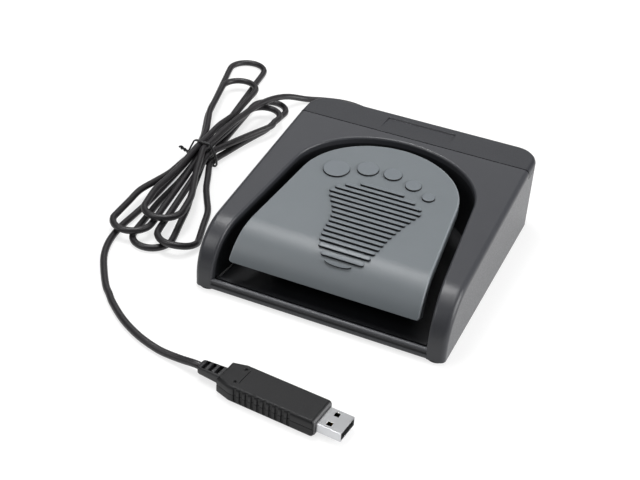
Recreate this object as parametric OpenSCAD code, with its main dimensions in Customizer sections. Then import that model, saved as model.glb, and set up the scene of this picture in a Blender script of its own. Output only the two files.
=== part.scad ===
// USB foot pedal switch: a sprung pedal plate in a wedge housing, with a tied cord and a large plug.
// Millimetres. X runs to the right, Y to the back and Z up. The feet stand on Z = 0 and the
// housing is centred on X and Y. The open end of the housing, where the foot comes in, faces -Y.

/* [Housing] */
// Width of the housing
housing_w = 125; // [120:1:135]
// Depth of the housing, front to back
housing_d = 136; // [132:1:144]
// Height of the top at the seam of the rear cover, above the floor
seam_h = 39.8; // [38:0.2:44]
// Slope of the top, falling to the front, in degrees
top_slope = 5.5; // [4.5:0.1:6]
// Wall of the housing
wall = 2.4; // [1.8:0.1:2.8]
// Radius of the front shoulder of the rails
shoulder_r = 24; // [20:0.5:24]
// Radius of the upright corners at the front
front_corner_r = 3.5; // [3:0.5:7]
// Radius of the upright corners at the back
rear_corner_r = 12; // [12:0.5:17]
// Height of the strip that joins the rails at the front, above the housing's lower edge
bridge_h = 5.4; // [4.2:0.1:5.6]
// Clearance between housing pieces that fit together
fit_gap = 0.3; // [0.2:0.05:0.4]

/* [Rear cover] */
// Depth of the rear cover, from the seam to the back
cover_d = 22; // [20:0.5:24]
// Thickness of the rear cover
cover_t = 2.2; // [1.8:0.1:2.6]
// Depth of the cover's skirt below its top
cover_skirt = 4.5; // [4:0.1:6]
// Way that the cover slides back before it lifts off
cover_travel = 5; // [4:0.5:5]
// Width of the thumb recess
recess_w = 37; // [28:1:44]
// Depth of the thumb recess at its back edge
recess_drop = 0.6; // [0.4:0.1:1.2]

/* [Well] */
// Width of the well where its arch begins
well_w = 93; // [88:1:96]
// Rise of the arch, from where it begins to its top
arch_rise = 36.4; // [32:0.2:40]
// Distance from the top of the arch to the seam
arch_margin = 4.4; // [4:0.1:6]
// Flare of the well's sides towards the front, in degrees
well_flare = 5.3; // [4.5:0.1:5.8]

/* [Base tray] */
// Thickness of the base tray
base_t = 3.7; // [3.2:0.1:4.2]
// Height of the lip at the front of the tray, above its floor
lip_h = 1.8; // [1:0.1:2.4]
// Thickness of the lip
lip_t = 2; // [1.4:0.1:2.6]
// Height of the rubber feet below the tray
foot_h = 1.3; // [1:0.1:2.3]
// Diameter of the rubber feet
foot_d = 9; // [7:0.5:10]

/* [Pedal] */
// Gap between the pedal and the well, all round
pedal_gap = 6; // [5:0.1:7]
// Flare of the pedal's sides towards the front, in degrees
pedal_flare = 6; // [5.4:0.1:6.4]
// Thickness of the pedal plate
pedal_t = 2.6; // [2:0.1:3]
// Depth of the pedal's skirt below its top
pedal_skirt = 6; // [4.5:0.1:6.4]
// Thickness of the pedal's skirt
pedal_skirt_t = 2.2; // [1.6:0.1:2.6]
// Radius of the pedal's rounded front
nose_r = 25; // [22:0.5:28]
// Height of the pedal's front edge above the floor
nose_h = 17; // [16:0.1:18]
// Distance of the rounded front's foremost point behind the housing's front
nose_setback = 2; // [1:0.1:4]
// Angle that the pedal is pressed through, in degrees
pedal_travel = 6; // [4:0.5:6]

/* [Foot relief] */
// Number of grip bars
bar_count = 16; // [12:1:16]
// Distance between grip bars
bar_pitch = 3.5; // [3.2:0.1:3.6]
// Width of a grip bar
bar_w = 2.2; // [1.6:0.1:2.6]
// Height of the bars above the plate
relief_h = 1.2; // [0.6:0.1:1.4]
// Height of the toes above the plate
toe_h = 1; // [0.5:0.1:1.2]
// Radius of the largest toe
toe_r = 6.7; // [5:0.1:7]

/* [Hinge and springs] */
// Diameter of the steel axle
axle_d = 4; // [3:0.5:5]
// Radial running clearance of the pedal on the axle
axle_play = 0.06; // [0.03:0.01:0.1]
// Depth of the axle below the pedal's top
axle_drop = 13; // [12:0.5:14]
// Distance of the axle in front of the pedal's rear end
axle_setback = 10; // [9:0.5:12]
// Outer diameter of the return springs
spring_d = 9; // [8:0.5:10]
// Diameter of the spring wire
spring_wire = 1; // [0.8:0.1:1.2]
// Number of turns of a return spring
spring_turns = 6; // [4:1:8]

/* [Microswitch] */
// Length of the microswitch body
switch_l = 20; // [18:0.5:21]
// Width of the microswitch body
switch_w = 6.4; // [5.6:0.2:7]
// Height of the microswitch body
switch_h = 10.2; // [9:0.2:10.6]
// Length of the lever, from its pin to its tip
lever_l = 20; // [18:0.5:21]
// Angle of the lever at rest, in degrees
lever_rise = 9; // [8:0.5:10]

/* [Cord] */
// Diameter of the cord
cord_d = 3.5; // [3.2:0.1:3.6]
// Length of the tapered grommet outside the back wall
grommet_l = 14; // [12:1:16]
// Largest diameter of the grommet
grommet_d = 7.5; // [6.5:0.5:8.5]
// Step from one strand of the hank to the next
hank_step = 4.1; // [4.1:0.05:4.2]
// Thickness of the tie round the hank
tie_t = 0.8; // [0.6:0.1:1]
// Width of the tie
tie_w = 1.6; // [1.2:0.2:3]

/* [Plug] */
// Length of the plug case
plug_l = 48; // [46:1:52]
// Width of the plug case
plug_w = 16.5; // [16:0.5:18]
// Height of the plug case
plug_h = 8.4; // [8.4:0.2:9.6]
// Length of the chamfers at the cord end of the case
plug_chamfer_l = 7; // [5:0.5:7.5]
// Width of the chamfers at the cord end of the case
plug_chamfer_w = 2; // [1.5:0.5:3]
// Wall of the plug case
plug_wall = 1.6; // [1.2:0.1:1.8]
// Number of grip grooves on each side of the case
groove_count = 10; // [6:1:12]
// Length of the strain relief behind the case
relief_l = 12; // [10:0.5:14]
// Width of the metal shell, the standard one
shell_w = 12; // [12:0.1:12]
// Height of the metal shell, the standard one
shell_h = 4.5; // [4.5:0.1:4.5]
// Length of the shell that stands out of the case
shell_l = 12; // [11:0.2:13]

/* [Hidden] */
$fn = 48;
eps = 0.01;
arc_steps = 16;

// Places on the housing
y_front = -housing_d / 2;
y_back = housing_d / 2;
seam_y = y_back - cover_d;
skirt_z = seam_h - cover_skirt;
base_top = foot_h + base_t;
bridge_z = foot_h + bridge_h;
inner_x = housing_w / 2 - wall;
function top_z(y) = seam_h - (seam_y - y) * tan(top_slope);
rail_cy = y_front + shoulder_r;
rail_cz = top_z(rail_cy) - shoulder_r / cos(top_slope);

// Places on the pedal and its hinge
well_apex = seam_y - arch_margin;
pedal_apex = well_apex - pedal_gap;
pedal_half = well_w / 2 - pedal_gap;
nose_y = y_front + nose_setback;
nose_cy = nose_y + nose_r;
nose_cz = top_z(nose_cy) - nose_r / cos(top_slope);
nose_end = asin((nose_h - nose_cz) / nose_r);
nose_top_y = nose_cy - nose_r * sin(top_slope);
axle_y = pedal_apex - axle_setback;
axle_z = top_z(axle_y) - axle_drop;
knuckle_d = axle_d + 5;
knuckle_in = 11;
knuckle_w = 9.5;
post_in = knuckle_in + knuckle_w + 0.5;
post_t = 4;
clip_t = 0.8;
axle_half = post_in + post_t + clip_t + 1.4;

// Springs and bumpers under the pedal
spring_x = 25;
spring_reach = 33.5;
spring_y = axle_y - spring_reach;
spring_seat_z = 24;
peg_d = spring_d - 2 * spring_wire - 0.6;
peg_h = 5;
bumper_x = 28;
bumper_reach = 63.5;
bumper_y = axle_y - bumper_reach;
bumper_d = 10;
bumper_h = 7;
stop_gap = 0.5;

// Microswitch, with the lever's tip under the pedal's actuating rib
switch_reach = 21.5;
switch_y = axle_y - switch_reach;
lever_y = switch_y + 0.4 * switch_l;
tip_y = lever_y - lever_l;
press_h = 6.08;
pin_rise = 1.2;
tip_z = top_z(tip_y) - press_h;
lever_z = tip_z - lever_l * sin(lever_rise);
switch_top = lever_z - pin_rise;
switch_z = switch_top - switch_h;
lever_t = 0.5;
lever_w = 4;
pin_d = 1;
pin_play = 0.05;
plunger_y = lever_y - 6.5;
plunger_d = 2.4;
contact_gap = 0.3;
plunger_top = lever_z + (lever_y - plunger_y) * tan(lever_rise) - contact_gap;
bracket_t = 3;
hole_spread = 9.5;
hole_z = switch_z + 2.9;
small_screw_d = 2.1;
terminal_clear = 3.5;
terminal_l = switch_z - base_top - terminal_clear;

// Screws and bosses of the case
boss_d = 7;
screw_d = 2.5;
screw_play = 0.05;
head_d = 5.6;
head_t = 1.2;
boss_front_in = 23;
boss_front_y = y_front + boss_front_in;
boss_rear_in = 16.5;
screw_bite = 10;
boss_rear = [housing_w / 2 - boss_rear_in, y_back - wall - boss_d / 2 + 0.5];

// Feet
foot_sink = 0.4;
stud_d = 4;
foot_front = [housing_w / 2 - 5.2, y_front + 5.2];
foot_rear = [housing_w / 2 - 10.5, y_back - 11];

// Cord outlet and clamp, beside the left rear boss
clamp_w = 18;
clamp_len = 5;
clamp_h = 3;
clamp_screw_x = 6;
clamp_gap = 1.5;
grommet_x = -(boss_rear[0] - (boss_d + clamp_w) / 2 - clamp_gap);
grommet_z = 11;
grommet_tip_d = cord_d + 1.7;
flange_t = 1.5;
tail_end_y = seam_y + 9;
clamp_y = seam_y + 12;
notch_x = -12;
notch_w = 8;
notch_h = 4.5;

// Plug, lying in front of the housing
plug_at = [29.9, -127.2];
plug_yaw = -5.4;
plug_mid = plug_h / 2;
shell_t = 0.35;
shell_in = 7;
function plug_pt(l, z) = [plug_at[0] + l * cos(plug_yaw), plug_at[1] + l * sin(plug_yaw), z];

// Sole outline: left and right edge of the grip bars at given places along Y
bar_y0 = 0.4;
sole_left = [[-57, -1], [-53, -5], [-49, -8.5], [-45, -10], [-38, -11], [-30, -11.5], [-24, -13],
    [-20, -15], [-16, -17.5], [-13, -19.5], [-10, -20.5], [-6.5, -19], [-3, -15], [0.5, -8.5]];
sole_right = [[-57, 11], [-53, 15], [-49, 17], [-42, 18.5], [-34, 19.5], [-27, 21], [-20, 23],
    [-13, 25.5], [-10, 26.5], [-6.5, 25.5], [-3, 21], [0.5, 14]];
// Heel: the rounded end of the sole, in front of the last bar
heel_x = 3.8;
heel_y = bar_y0 - bar_count * bar_pitch + bar_w / 2;
heel_w = 13.2;
heel_l = 1.7;
// Toes: place on the plate, and size as a share of the largest toe
toes = [[-24.2, 6.7, 1], [-10, 12.9, 0.82], [2.8, 13.9, 0.7], [15.1, 9.8, 0.61], [24.9, 4.2, 0.48]];

// Cord route: lying height, and the nine strands and eight folds of the hank
lie = cord_d / 2;
join_gap = 0.1;
hank_lift = tie_t + 0.3;
hank_low = lie + hank_lift;
waist = [-112, 31];
// Strands at the waist: column and level, in steps
strands = [[0.5, 2], [-0.5, 2], [-1, 1], [0, 1], [1, 1], [1.5, 0], [0.5, 0], [-0.5, 0], [-1.5, 0]];
// Folds: centre, radius, level where it starts and ends, side of the strand that comes in,
// and how far the strand that comes in and the one that leaves bow out
folds = [
    [-101, -29, 10, 2, 2, 1, 1.5, 1.5], [-129, 107, 10, 1, 1, 1, 0, 2], [-112, -41, 10, 1, 1, -1, 3, 0],
    [-102.4, 85, 9.6, 1, 1, -1, 0, 2], [-86.5, -41, 10, 1, 0, -1, 0, 2.5], [-105.4, 99, 10, 0, 0, 1, 2, 0],
    [-99, -44, 10, 0, 0, 1, 1, 1], [-138.8, 137, 10.5, 0, 0, 1, 0, 2]
];
function waist_pt(k) = [
    waist[0] + hank_step * strands[k][0], waist[1], hank_low + hank_step * strands[k][1]
];
in_x = waist_pt(0)[0];
in_z = waist_pt(0)[2];
out_x = waist_pt(8)[0];
lead_in_route = [
    [grommet_x, y_back + grommet_l + join_gap, grommet_z], [grommet_x, y_back + grommet_l + cord_d, grommet_z],
    [-32.5, 96, 9.5], [-35, 107, 6.5], [-42, 118, 3.5], [-54, 126.5, 2], [-67, 129.5, lie],
    [-80, 127, lie], [-91, 121, 2.6], [-98.5, 112.5, 6.2], [-102.5, 102.5, 9], [-105.5, 91, 10.6],
    [-107.7, 78, 10.9], [-109.3, 64, in_z], [in_x, 50, in_z],
    [in_x, waist[1] + cord_d, in_z], [in_x, waist[1] + join_gap, in_z]
];
lead_out_route = [
    [out_x, waist[1] - join_gap, hank_low], [out_x, waist[1] - cord_d, hank_low],
    [-118, 18, 2.2], [-117.6, 6, lie], [-117, -7, lie], [-116.7, -20, lie], [-117, -33, lie],
    [-117.3, -45, lie], [-115.8, -57, lie], [-112, -68, lie], [-106, -78, lie], [-98, -89, lie],
    [-88, -99, lie], [-77, -107.5, lie], [-65, -114, lie], [-53, -118, lie], [-42, -119.8, 2.6],
    plug_pt(-plug_l - relief_l - cord_d, plug_mid), plug_pt(-plug_l - relief_l - join_gap, plug_mid)
];

// Insulated wires from the microswitch to the end of the cord
lead_d = 1.3;
lead_z = switch_z - terminal_l * 0.73;
floor_z = base_top + lead_d * 0.75;
terminal_y = switch_y + switch_l / 2 - 1.5;
lead_routes = [
    [[0, switch_y + 1, lead_z], [-1.5, switch_y + 2.2, (lead_z + floor_z) / 2], [-8, switch_y + 6, floor_z + 0.3],
        [notch_x - 1, axle_y - 3.6, floor_z], [notch_x - 1.5, well_apex - 8.6, floor_z],
        [notch_x - 1.5, well_apex + 1.4, floor_z], [-17, seam_y + 2, floor_z + 1], [-23, seam_y + 3, 8.5],
        [grommet_x + 3, seam_y + 4.5, grommet_z - 1.2],
        [grommet_x, tail_end_y - lead_d, grommet_z - lead_d * 0.6],
        [grommet_x, tail_end_y - join_gap, grommet_z - lead_d * 0.6]],
    [[0, terminal_y + 1, lead_z], [-1.5, terminal_y + 2.2, (lead_z + floor_z) / 2], [-6, terminal_y + 6.4, floor_z + 0.3],
        [-10, axle_y + 0.4, floor_z], [notch_x + 1, well_apex - 8.6, floor_z],
        [notch_x + 1, well_apex + 1.4, floor_z], [-14, seam_y + 4.5, floor_z + 1.5], [-20, seam_y + 6, 10],
        [grommet_x + 5, seam_y + 6.3, grommet_z + 0.7],
        [grommet_x, tail_end_y - lead_d, grommet_z + lead_d * 0.6],
        [grommet_x, tail_end_y - join_gap, grommet_z + lead_d * 0.6]]
];

// Vectors and paths
function unit(v) = v / norm(v);
function last(v) = len(v) - 1;
function tangent(p, i) = unit(i == 0 ? p[1] - p[0] : i == last(p) ? p[i] - p[i - 1] : p[i + 1] - p[i - 1]);
function side(t) = unit(cross(t, abs(t[2]) > 0.9 ? [0, 1, 0] : [0, 0, 1]));

// Smooth curve through the points of a route, with some steps to each stretch
function bend(a, b, c, d, u) = 0.5 * (2 * b + (c - a) * u + (2 * a - 5 * b + 4 * c - d) * u * u
    + (3 * b - a - 3 * c + d) * u * u * u);
function smooth(p, steps) = [
    for (i = [0 : last(p) - 1])
        for (k = [0 : steps - 1])
            bend(p[max(i - 1, 0)], p[i], p[i + 1], p[min(i + 2, last(p))], k / steps),
    p[last(p)]
];

// Tube of triangles swept along a path
module tube(path, d, sides) {
    n = len(path);
    ring = [for (i = [0 : n - 1])
        let (t = tangent(path, i), s = side(t), u = cross(s, t))
            for (k = [0 : sides - 1])
                path[i] + d / 2 * (cos(360 * k / sides) * s + sin(360 * k / sides) * u)];
    skin = [for (i = [0 : n - 2])
        for (k = [0 : sides - 1])
            let (a = i * sides + k, b = i * sides + (k + 1) % sides)
                for (f = [[a, a + sides, b], [b, a + sides, b + sides]]) f];
    caps = [for (k = [1 : sides - 2])
        for (f = [[0, k, k + 1], [(n - 1) * sides, (n - 1) * sides + k + 1, (n - 1) * sides + k]]) f];
    polyhedron(ring, concat(skin, caps));
}

// Solid of a side view in Y and Z, as wide as asked and centred on X
module across(points, width) {
    rotate([90, 0, 90])
        linear_extrude(height = width, center = true)
            polygon(points);
}

// Rectangle with round corners: r1 at the low end of Y or X, r2 at the high end
module round_plan(x0, x1, y0, y1, r1, r2) {
    polygon([[x0 + r1, y0], [x1 - r1, y0], [x1, y0 + r1], [x1, y1 - r2], [x1 - r2, y1], [x0 + r2, y1],
        [x0, y1 - r2], [x0, y0 + r1]]);
    for (x = [x0 + r1, x1 - r1]) translate([x, y0 + r1]) circle(r1);
    for (x = [x0 + r2, x1 - r2]) translate([x, y1 - r2]) circle(r2);
}

// Plan of the housing, drawn in by an inset
module housing_plan(inset) {
    round_plan(inset - housing_w / 2, housing_w / 2 - inset, y_front + inset, y_back - inset,
        front_corner_r - inset, rear_corner_r - inset);
}

// Side view of the housing, drawn in by an inset and starting at a height
function housing_side(inset, low) = concat(
    [[y_back - inset, low], [y_front + inset, low]],
    [for (i = [0 : arc_steps])
        let (a = 180 - i * (90 - top_slope) / arc_steps)
            [rail_cy + (shoulder_r - inset) * cos(a), rail_cz + (shoulder_r - inset) * sin(a)]],
    [[seam_y, seam_h - inset / cos(top_slope)], [y_back - inset, seam_h - inset]]
);

module housing_form(inset, low) {
    intersection() {
        across(housing_side(inset, low), housing_w);
        translate([0, 0, low]) linear_extrude(height = seam_h) housing_plan(inset);
    }
}

// Outline with an elliptic arch at the back and flared straight sides running to the front
function arch_start(half, flare) = atan(tan(flare) * arch_rise / half);
function arch_half(half, apex, flare, y) =
    half * cos(arch_start(half, flare))
    + (apex - arch_rise + arch_rise * sin(arch_start(half, flare)) - y) * tan(flare);
function arch_outline(half, apex, flare, y_end) = concat(
    [[-arch_half(half, apex, flare, y_end), y_end], [arch_half(half, apex, flare, y_end), y_end]],
    [for (i = [0 : 2 * arc_steps])
        let (s = arch_start(half, flare), a = s + i * (180 - 2 * s) / (2 * arc_steps))
            [half * cos(a), apex - arch_rise + arch_rise * sin(a)]]
);

module well_form(outset, low) {
    translate([0, 0, low])
        linear_extrude(height = seam_h)
            polygon(arch_outline(well_w / 2 + outset, well_apex + outset, well_flare, y_front - wall));
}

module screw_hole(x, y, d, low, high) {
    translate([x, y, low]) cylinder(d = d, h = high - low);
}

// Case screws: two in the rails and two in the rear bay
boss_front_x = (arch_half(well_w / 2, well_apex, well_flare, boss_front_y) + housing_w / 2) / 2;
boss_places = [
    for (s = [-1, 1]) [s * boss_front_x, boss_front_y, top_z(boss_front_y) - wall],
    for (s = [-1, 1]) [s * boss_rear[0], boss_rear[1], skirt_z - 4]
];

// Ledges that hold the cover down. They reach in as far as the round rear corner does where a toe ends its way
ledge_len = cover_travel - 1;
ledge_y = seam_y + 4;
ledge_z = skirt_z - 3;
ledge_t = 2;
ledge_hold = 2.5;
function corner_in(y) =
    let (r = rear_corner_r - wall, past = max(0, y - y_back + rear_corner_r)) r - sqrt(r * r - past * past);
ledge_w = ledge_hold + corner_in(ledge_y + ledge_len + cover_travel);

module top_housing() {
    color("#55575b") difference() {
        union() {
            difference() {
                housing_form(0, foot_h);
                housing_form(wall, foot_h - eps);
            }
            intersection() {
                well_form(wall, base_top + fit_gap / 2);
                housing_form(0, foot_h);
            }
            for (b = boss_places)
                translate([b[0], b[1], base_top]) cylinder(d = boss_d, h = b[2] - base_top + eps);
            for (s = [-1, 1])
                translate([s * (inner_x - ledge_w / 2 + eps), ledge_y + ledge_len / 2, ledge_z + ledge_t / 2])
                    cube([ledge_w + 2 * eps, ledge_len, ledge_t], center = true);
        }
        // Well: open above the front strip, and down to the tray behind it
        well_form(0, bridge_z);
        intersection() {
            well_form(0, foot_h);
            housing_form(wall, foot_h - eps);
        }
        translate([-housing_w, seam_y, skirt_z - fit_gap]) cube([2 * housing_w, cover_d + wall, seam_h]);
        translate([grommet_x, y_back + eps, grommet_z])
            rotate([90, 0, 0])
                cylinder(d = grommet_d, h = wall + 3 * eps);
        translate([notch_x - notch_w / 2, well_apex - 2 * wall, foot_h])
            cube([notch_w, 4 * wall, base_t + notch_h]);
        for (b = boss_places) screw_hole(b[0], b[1], screw_d + 2 * screw_play, foot_h, base_top + screw_bite + 2);
    }
}

web_t = 1.2;
toe_t = 1.4;
cover_lip_w = 24;
cover_lip_t = 1.2;
cover_lip_gap = 0.4;
cover_lip_reach = 4;
recess_in = 6.5;
recess_run = 11;
recess_cut_l = 20;
recess_cut_h = 5;
web_x = inner_x - ledge_w - 0.4 - web_t;

module rear_cover() {
    front = seam_y + fit_gap;
    color("#515357") difference() {
        union() {
            difference() {
                intersection() {
                    housing_form(0, foot_h);
                    translate([-housing_w, front, skirt_z]) cube([2 * housing_w, cover_d, seam_h]);
                }
                housing_form(cover_t, foot_h);
            }
            // Pad under the thumb recess, and the tongue that reaches under the housing's top
            translate([-recess_w / 2 - 1, front, seam_h - cover_t - recess_drop])
                cube([recess_w + 2, cover_d - cover_t - 2, recess_drop + eps]);
            translate([-cover_lip_w / 2, well_apex + wall + fit_gap, seam_h - wall - cover_lip_gap - cover_lip_t])
                cube([cover_lip_w, arch_margin - wall + cover_lip_reach, cover_lip_t]);
            // Webs with toes that run under the housing's ledges
            for (s = [-1, 1]) {
                translate([s * (web_x + web_t / 2), ledge_y + ledge_len / 2, (ledge_z + seam_h - cover_t) / 2])
                    cube([web_t, ledge_len, seam_h - cover_t - ledge_z + 2 * eps], center = true);
                translate([s * (web_x + ledge_hold / 2 + 0.4), ledge_y + ledge_len / 2, ledge_z - 0.4 - toe_t / 2])
                    cube([ledge_hold + 0.8, ledge_len, toe_t], center = true);
                translate([s * (web_x + web_t / 2), ledge_y + ledge_len / 2, ledge_z - (0.4 + toe_t) / 2])
                    cube([web_t, ledge_len, 0.4 + toe_t], center = true);
            }
        }
        // Thumb recess, flush at the front and deepest at its back edge
        translate([0, y_back - recess_in, seam_h - recess_drop])
            rotate([-atan(recess_drop / recess_run), 0, 0])
                translate([-recess_w / 2, -recess_cut_l, 0])
                    cube([recess_w, recess_cut_l, recess_cut_h]);
    }
}

module axle_bore(d) {
    translate([0, axle_y, axle_z])
        rotate([0, 90, 0])
            cylinder(d = d, h = 2 * axle_half + 1, center = true);
}

module base_tray() {
    lip_y = y_front + wall + fit_gap;
    lip_half = arch_half(well_w / 2, well_apex, well_flare, lip_y) - 2 * fit_gap;
    color("#1d1e21") difference() {
        union() {
            translate([0, 0, foot_h]) linear_extrude(height = base_t) housing_plan(wall + fit_gap);
            translate([-lip_half, lip_y, base_top - eps]) cube([2 * lip_half, lip_t, lip_h + eps]);
            // Axle posts
            for (s = [-1, 1]) {
                translate([s * (post_in + post_t / 2), axle_y, (base_top + axle_z) / 2])
                    cube([post_t, knuckle_d, axle_z - base_top + 2 * eps], center = true);
                translate([s * (post_in + post_t / 2), axle_y, axle_z])
                    rotate([0, 90, 0])
                        cylinder(d = knuckle_d, h = post_t, center = true);
            }
            // Spring pegs
            for (s = [-1, 1])
                translate([s * spring_x, spring_y, base_top - eps]) cylinder(d = peg_d, h = peg_h);
            // Upright bracket beside the microswitch
            translate([switch_w / 2, switch_y - switch_l / 2, base_top - eps])
                cube([bracket_t, switch_l, switch_top - base_top - 1]);
            // Block under the cord clamp
            translate([grommet_x - clamp_w / 2, clamp_y, base_top - eps])
                cube([clamp_w, clamp_len, grommet_z - base_top]);
        }
        axle_bore(axle_d + 0.06);
        for (s = [-1, 1])
            translate([0, switch_y + s * hole_spread / 2, hole_z])
                rotate([0, 90, 0])
                    cylinder(d = small_screw_d, h = housing_w / 4);
        translate([grommet_x, clamp_y - 1, grommet_z])
            rotate([-90, 0, 0])
                cylinder(d = cord_d, h = clamp_len + 2);
        for (s = [-1, 1])
            screw_hole(grommet_x + s * clamp_screw_x, clamp_y + clamp_len / 2, small_screw_d, base_top, grommet_z + 1);
        for (b = boss_places) {
            screw_hole(b[0], b[1], screw_d + 0.7, foot_h - 1, base_top + 1);
            screw_hole(b[0], b[1], head_d + 0.4, foot_h - 1, foot_h + head_t);
        }
        for (s = [-1, 1], f = [foot_front, foot_rear])
            screw_hole(s * f[0], f[1], stud_d + 0.1, foot_h - 1, foot_h + foot_sink);
    }
}

// Height and slope of the pedal's top at a place along Y, on the flat and over the rounded front
function pedal_z(y) = y > nose_top_y ? top_z(y) : nose_cz + sqrt(nose_r * nose_r - (y - nose_cy) * (y - nose_cy));
function pedal_tilt(y) = y > nose_top_y ? top_slope : acos((y - nose_cy) / nose_r) - 90;

// Side view of the pedal's plate, as thick as asked
function nose_arc(r, end) = [for (i = [0 : arc_steps])
    let (a = 90 + top_slope + i * (90 - top_slope - end) / arc_steps)
        [nose_cy + r * cos(a), nose_cz + r * sin(a)]];
function reversed(v) = [for (i = [last(v) : -1 : 0]) v[i]];
function pedal_side(t, end) = concat(
    [[well_apex, top_z(well_apex)]], nose_arc(nose_r, end),
    reversed(nose_arc(nose_r - t, end)), [[well_apex, top_z(well_apex) - t / cos(top_slope)]]
);

module pedal_form(t, end, inset) {
    intersection() {
        across(pedal_side(t, end), housing_w);
        linear_extrude(height = 2 * seam_h)
            polygon(arch_outline(pedal_half - inset, pedal_apex - inset, pedal_flare, y_front));
    }
}

rib_x = 14;
rib_t = 2;
rib_drop = 7;
rib_front_y = nose_top_y;
actuator_z = tip_z + lever_t + contact_gap;
stop_z = base_top + bumper_h + stop_gap + (axle_y - bumper_y) * sin(pedal_travel);

module pedal_plate() {
    color("#858c91") difference() {
        union() {
            pedal_form(pedal_t, nose_end, 0);
            difference() {
                pedal_form(pedal_skirt, nose_end + 4, 0);
                linear_extrude(height = 2 * seam_h)
                    polygon(arch_outline(pedal_half - pedal_skirt_t, pedal_apex - pedal_skirt_t, pedal_flare,
                        y_front - 1));
            }
            // Stiffening ribs
            for (s = [-1, 1])
                translate([s * rib_x, 0, 0])
                    across([[axle_y, top_z(axle_y) - 1], [rib_front_y, top_z(rib_front_y) - 1],
                        [rib_front_y, top_z(rib_front_y) - rib_drop], [axle_y, top_z(axle_y) - rib_drop]], rib_t);
            // Hinge knuckles
            for (s = [-1, 1]) {
                translate([s * (knuckle_in + knuckle_w / 2), axle_y, axle_z])
                    rotate([0, 90, 0])
                        cylinder(d = knuckle_d, h = knuckle_w, center = true);
                translate([s * (knuckle_in + knuckle_w / 2), axle_y, axle_z + (axle_drop - 1) / 2])
                    cube([knuckle_w, knuckle_d - 1, axle_drop - 1], center = true);
            }
            // Spring bosses with their pegs, and the stops over the bumpers
            for (s = [-1, 1]) {
                translate([s * spring_x, spring_y, spring_seat_z])
                    cylinder(d = spring_d + 2, h = top_z(spring_y) - spring_seat_z - 1);
                translate([s * spring_x, spring_y, spring_seat_z - peg_h]) cylinder(d = peg_d, h = peg_h + eps);
                translate([s * bumper_x, bumper_y, stop_z])
                    cylinder(d = bumper_d - 2, h = top_z(bumper_y) - stop_z - 1);
            }
            // Rib that presses the lever of the microswitch
            translate([0, tip_y + 1, (actuator_z + 1 + top_z(tip_y) - 1) / 2])
                cube([lever_w + 4, 2, top_z(tip_y) - actuator_z - 2], center = true);
            translate([0, tip_y + 1, actuator_z + 1])
                rotate([0, 90, 0])
                    cylinder(d = 2, h = lever_w + 4, center = true);
            foot_relief();
        }
        axle_bore(axle_d + 2 * axle_play);
    }
}

// Raised footprint: bars across the sole, a rounded heel and five round toes
module foot_relief() {
    for (i = [0 : bar_count - 1]) {
        y = bar_y0 - i * bar_pitch;
        x0 = lookup(y, sole_left);
        x1 = lookup(y, sole_right);
        translate([(x0 + x1) / 2, y, pedal_z(y)])
            rotate([pedal_tilt(y), 0, 0])
                cube([x1 - x0, bar_w, 2 * relief_h], center = true);
    }
    translate([heel_x, heel_y, pedal_z(heel_y)])
        rotate([pedal_tilt(heel_y - bar_w / 2), 0, 0])
            linear_extrude(height = 2 * relief_h, center = true)
                polygon([for (i = [0 : arc_steps])
                    let (a = 180 + i * 180 / arc_steps) [heel_w / 2 * cos(a), heel_l * sin(a)]]);
    for (t = toes)
        translate([t[0], t[1], top_z(t[1])])
            rotate([top_slope, 0, 0])
                cylinder(r = t[2] * toe_r, h = 2 * toe_h, center = true);
}

module pivot_axle() {
    color("#b9bcc0")
        translate([0, axle_y, axle_z])
            rotate([0, 90, 0])
                cylinder(d = axle_d, h = 2 * axle_half, center = true);
}

// Retaining clips on both ends of the axle
module axle_clips() {
    color("#6d7074")
        for (s = [-1, 1])
            translate([s * (post_in + post_t + clip_t / 2 + 0.2), axle_y, axle_z])
                rotate([0, 90, 0])
                    difference() {
                        cylinder(d = 2 * axle_d, h = clip_t, center = true);
                        cylinder(d = axle_d + 0.06, h = 2 * clip_t, center = true);
                        translate([axle_d, 0, 0]) cube([2 * axle_d, axle_d * 0.7, 2 * clip_t], center = true);
                    }
}

module return_spring(s) {
    mean_r = (spring_d - spring_wire) / 2;
    low = base_top + spring_wire / 2 + 0.1;
    high = spring_seat_z - spring_wire / 2 - 0.1;
    steps = 8 * spring_turns;
    color("#a9adb1")
        tube([for (i = [0 : steps])
            let (a = 360 * i / 8)
                [s * spring_x + mean_r * cos(a), spring_y + mean_r * sin(a), low + (high - low) * i / steps]],
            spring_wire, 6);
}

module return_spring_left() return_spring(-1);
module return_spring_right() return_spring(1);

module switch_body() {
    color("#2a2b2e") difference() {
        union() {
            translate([-switch_w / 2, switch_y - switch_l / 2, switch_z]) cube([switch_w, switch_l, switch_h]);
            for (s = [-1, 1])
                translate([s * (lever_w / 2 + 0.6), lever_y, (switch_top + lever_z) / 2 + 0.4])
                    cube([0.8, 2.4, lever_z - switch_top + 1.6], center = true);
            translate([0, lever_y, lever_z])
                rotate([0, 90, 0])
                    cylinder(d = pin_d, h = lever_w + 1.6, center = true);
        }
        for (s = [-1, 1])
            translate([0, switch_y + s * hole_spread / 2, hole_z])
                rotate([0, 90, 0])
                    cylinder(d = small_screw_d, h = 2 * switch_w, center = true);
        translate([0, plunger_y, switch_top - 4]) cylinder(d = plunger_d + 0.1, h = 5);
    }
}

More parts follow.
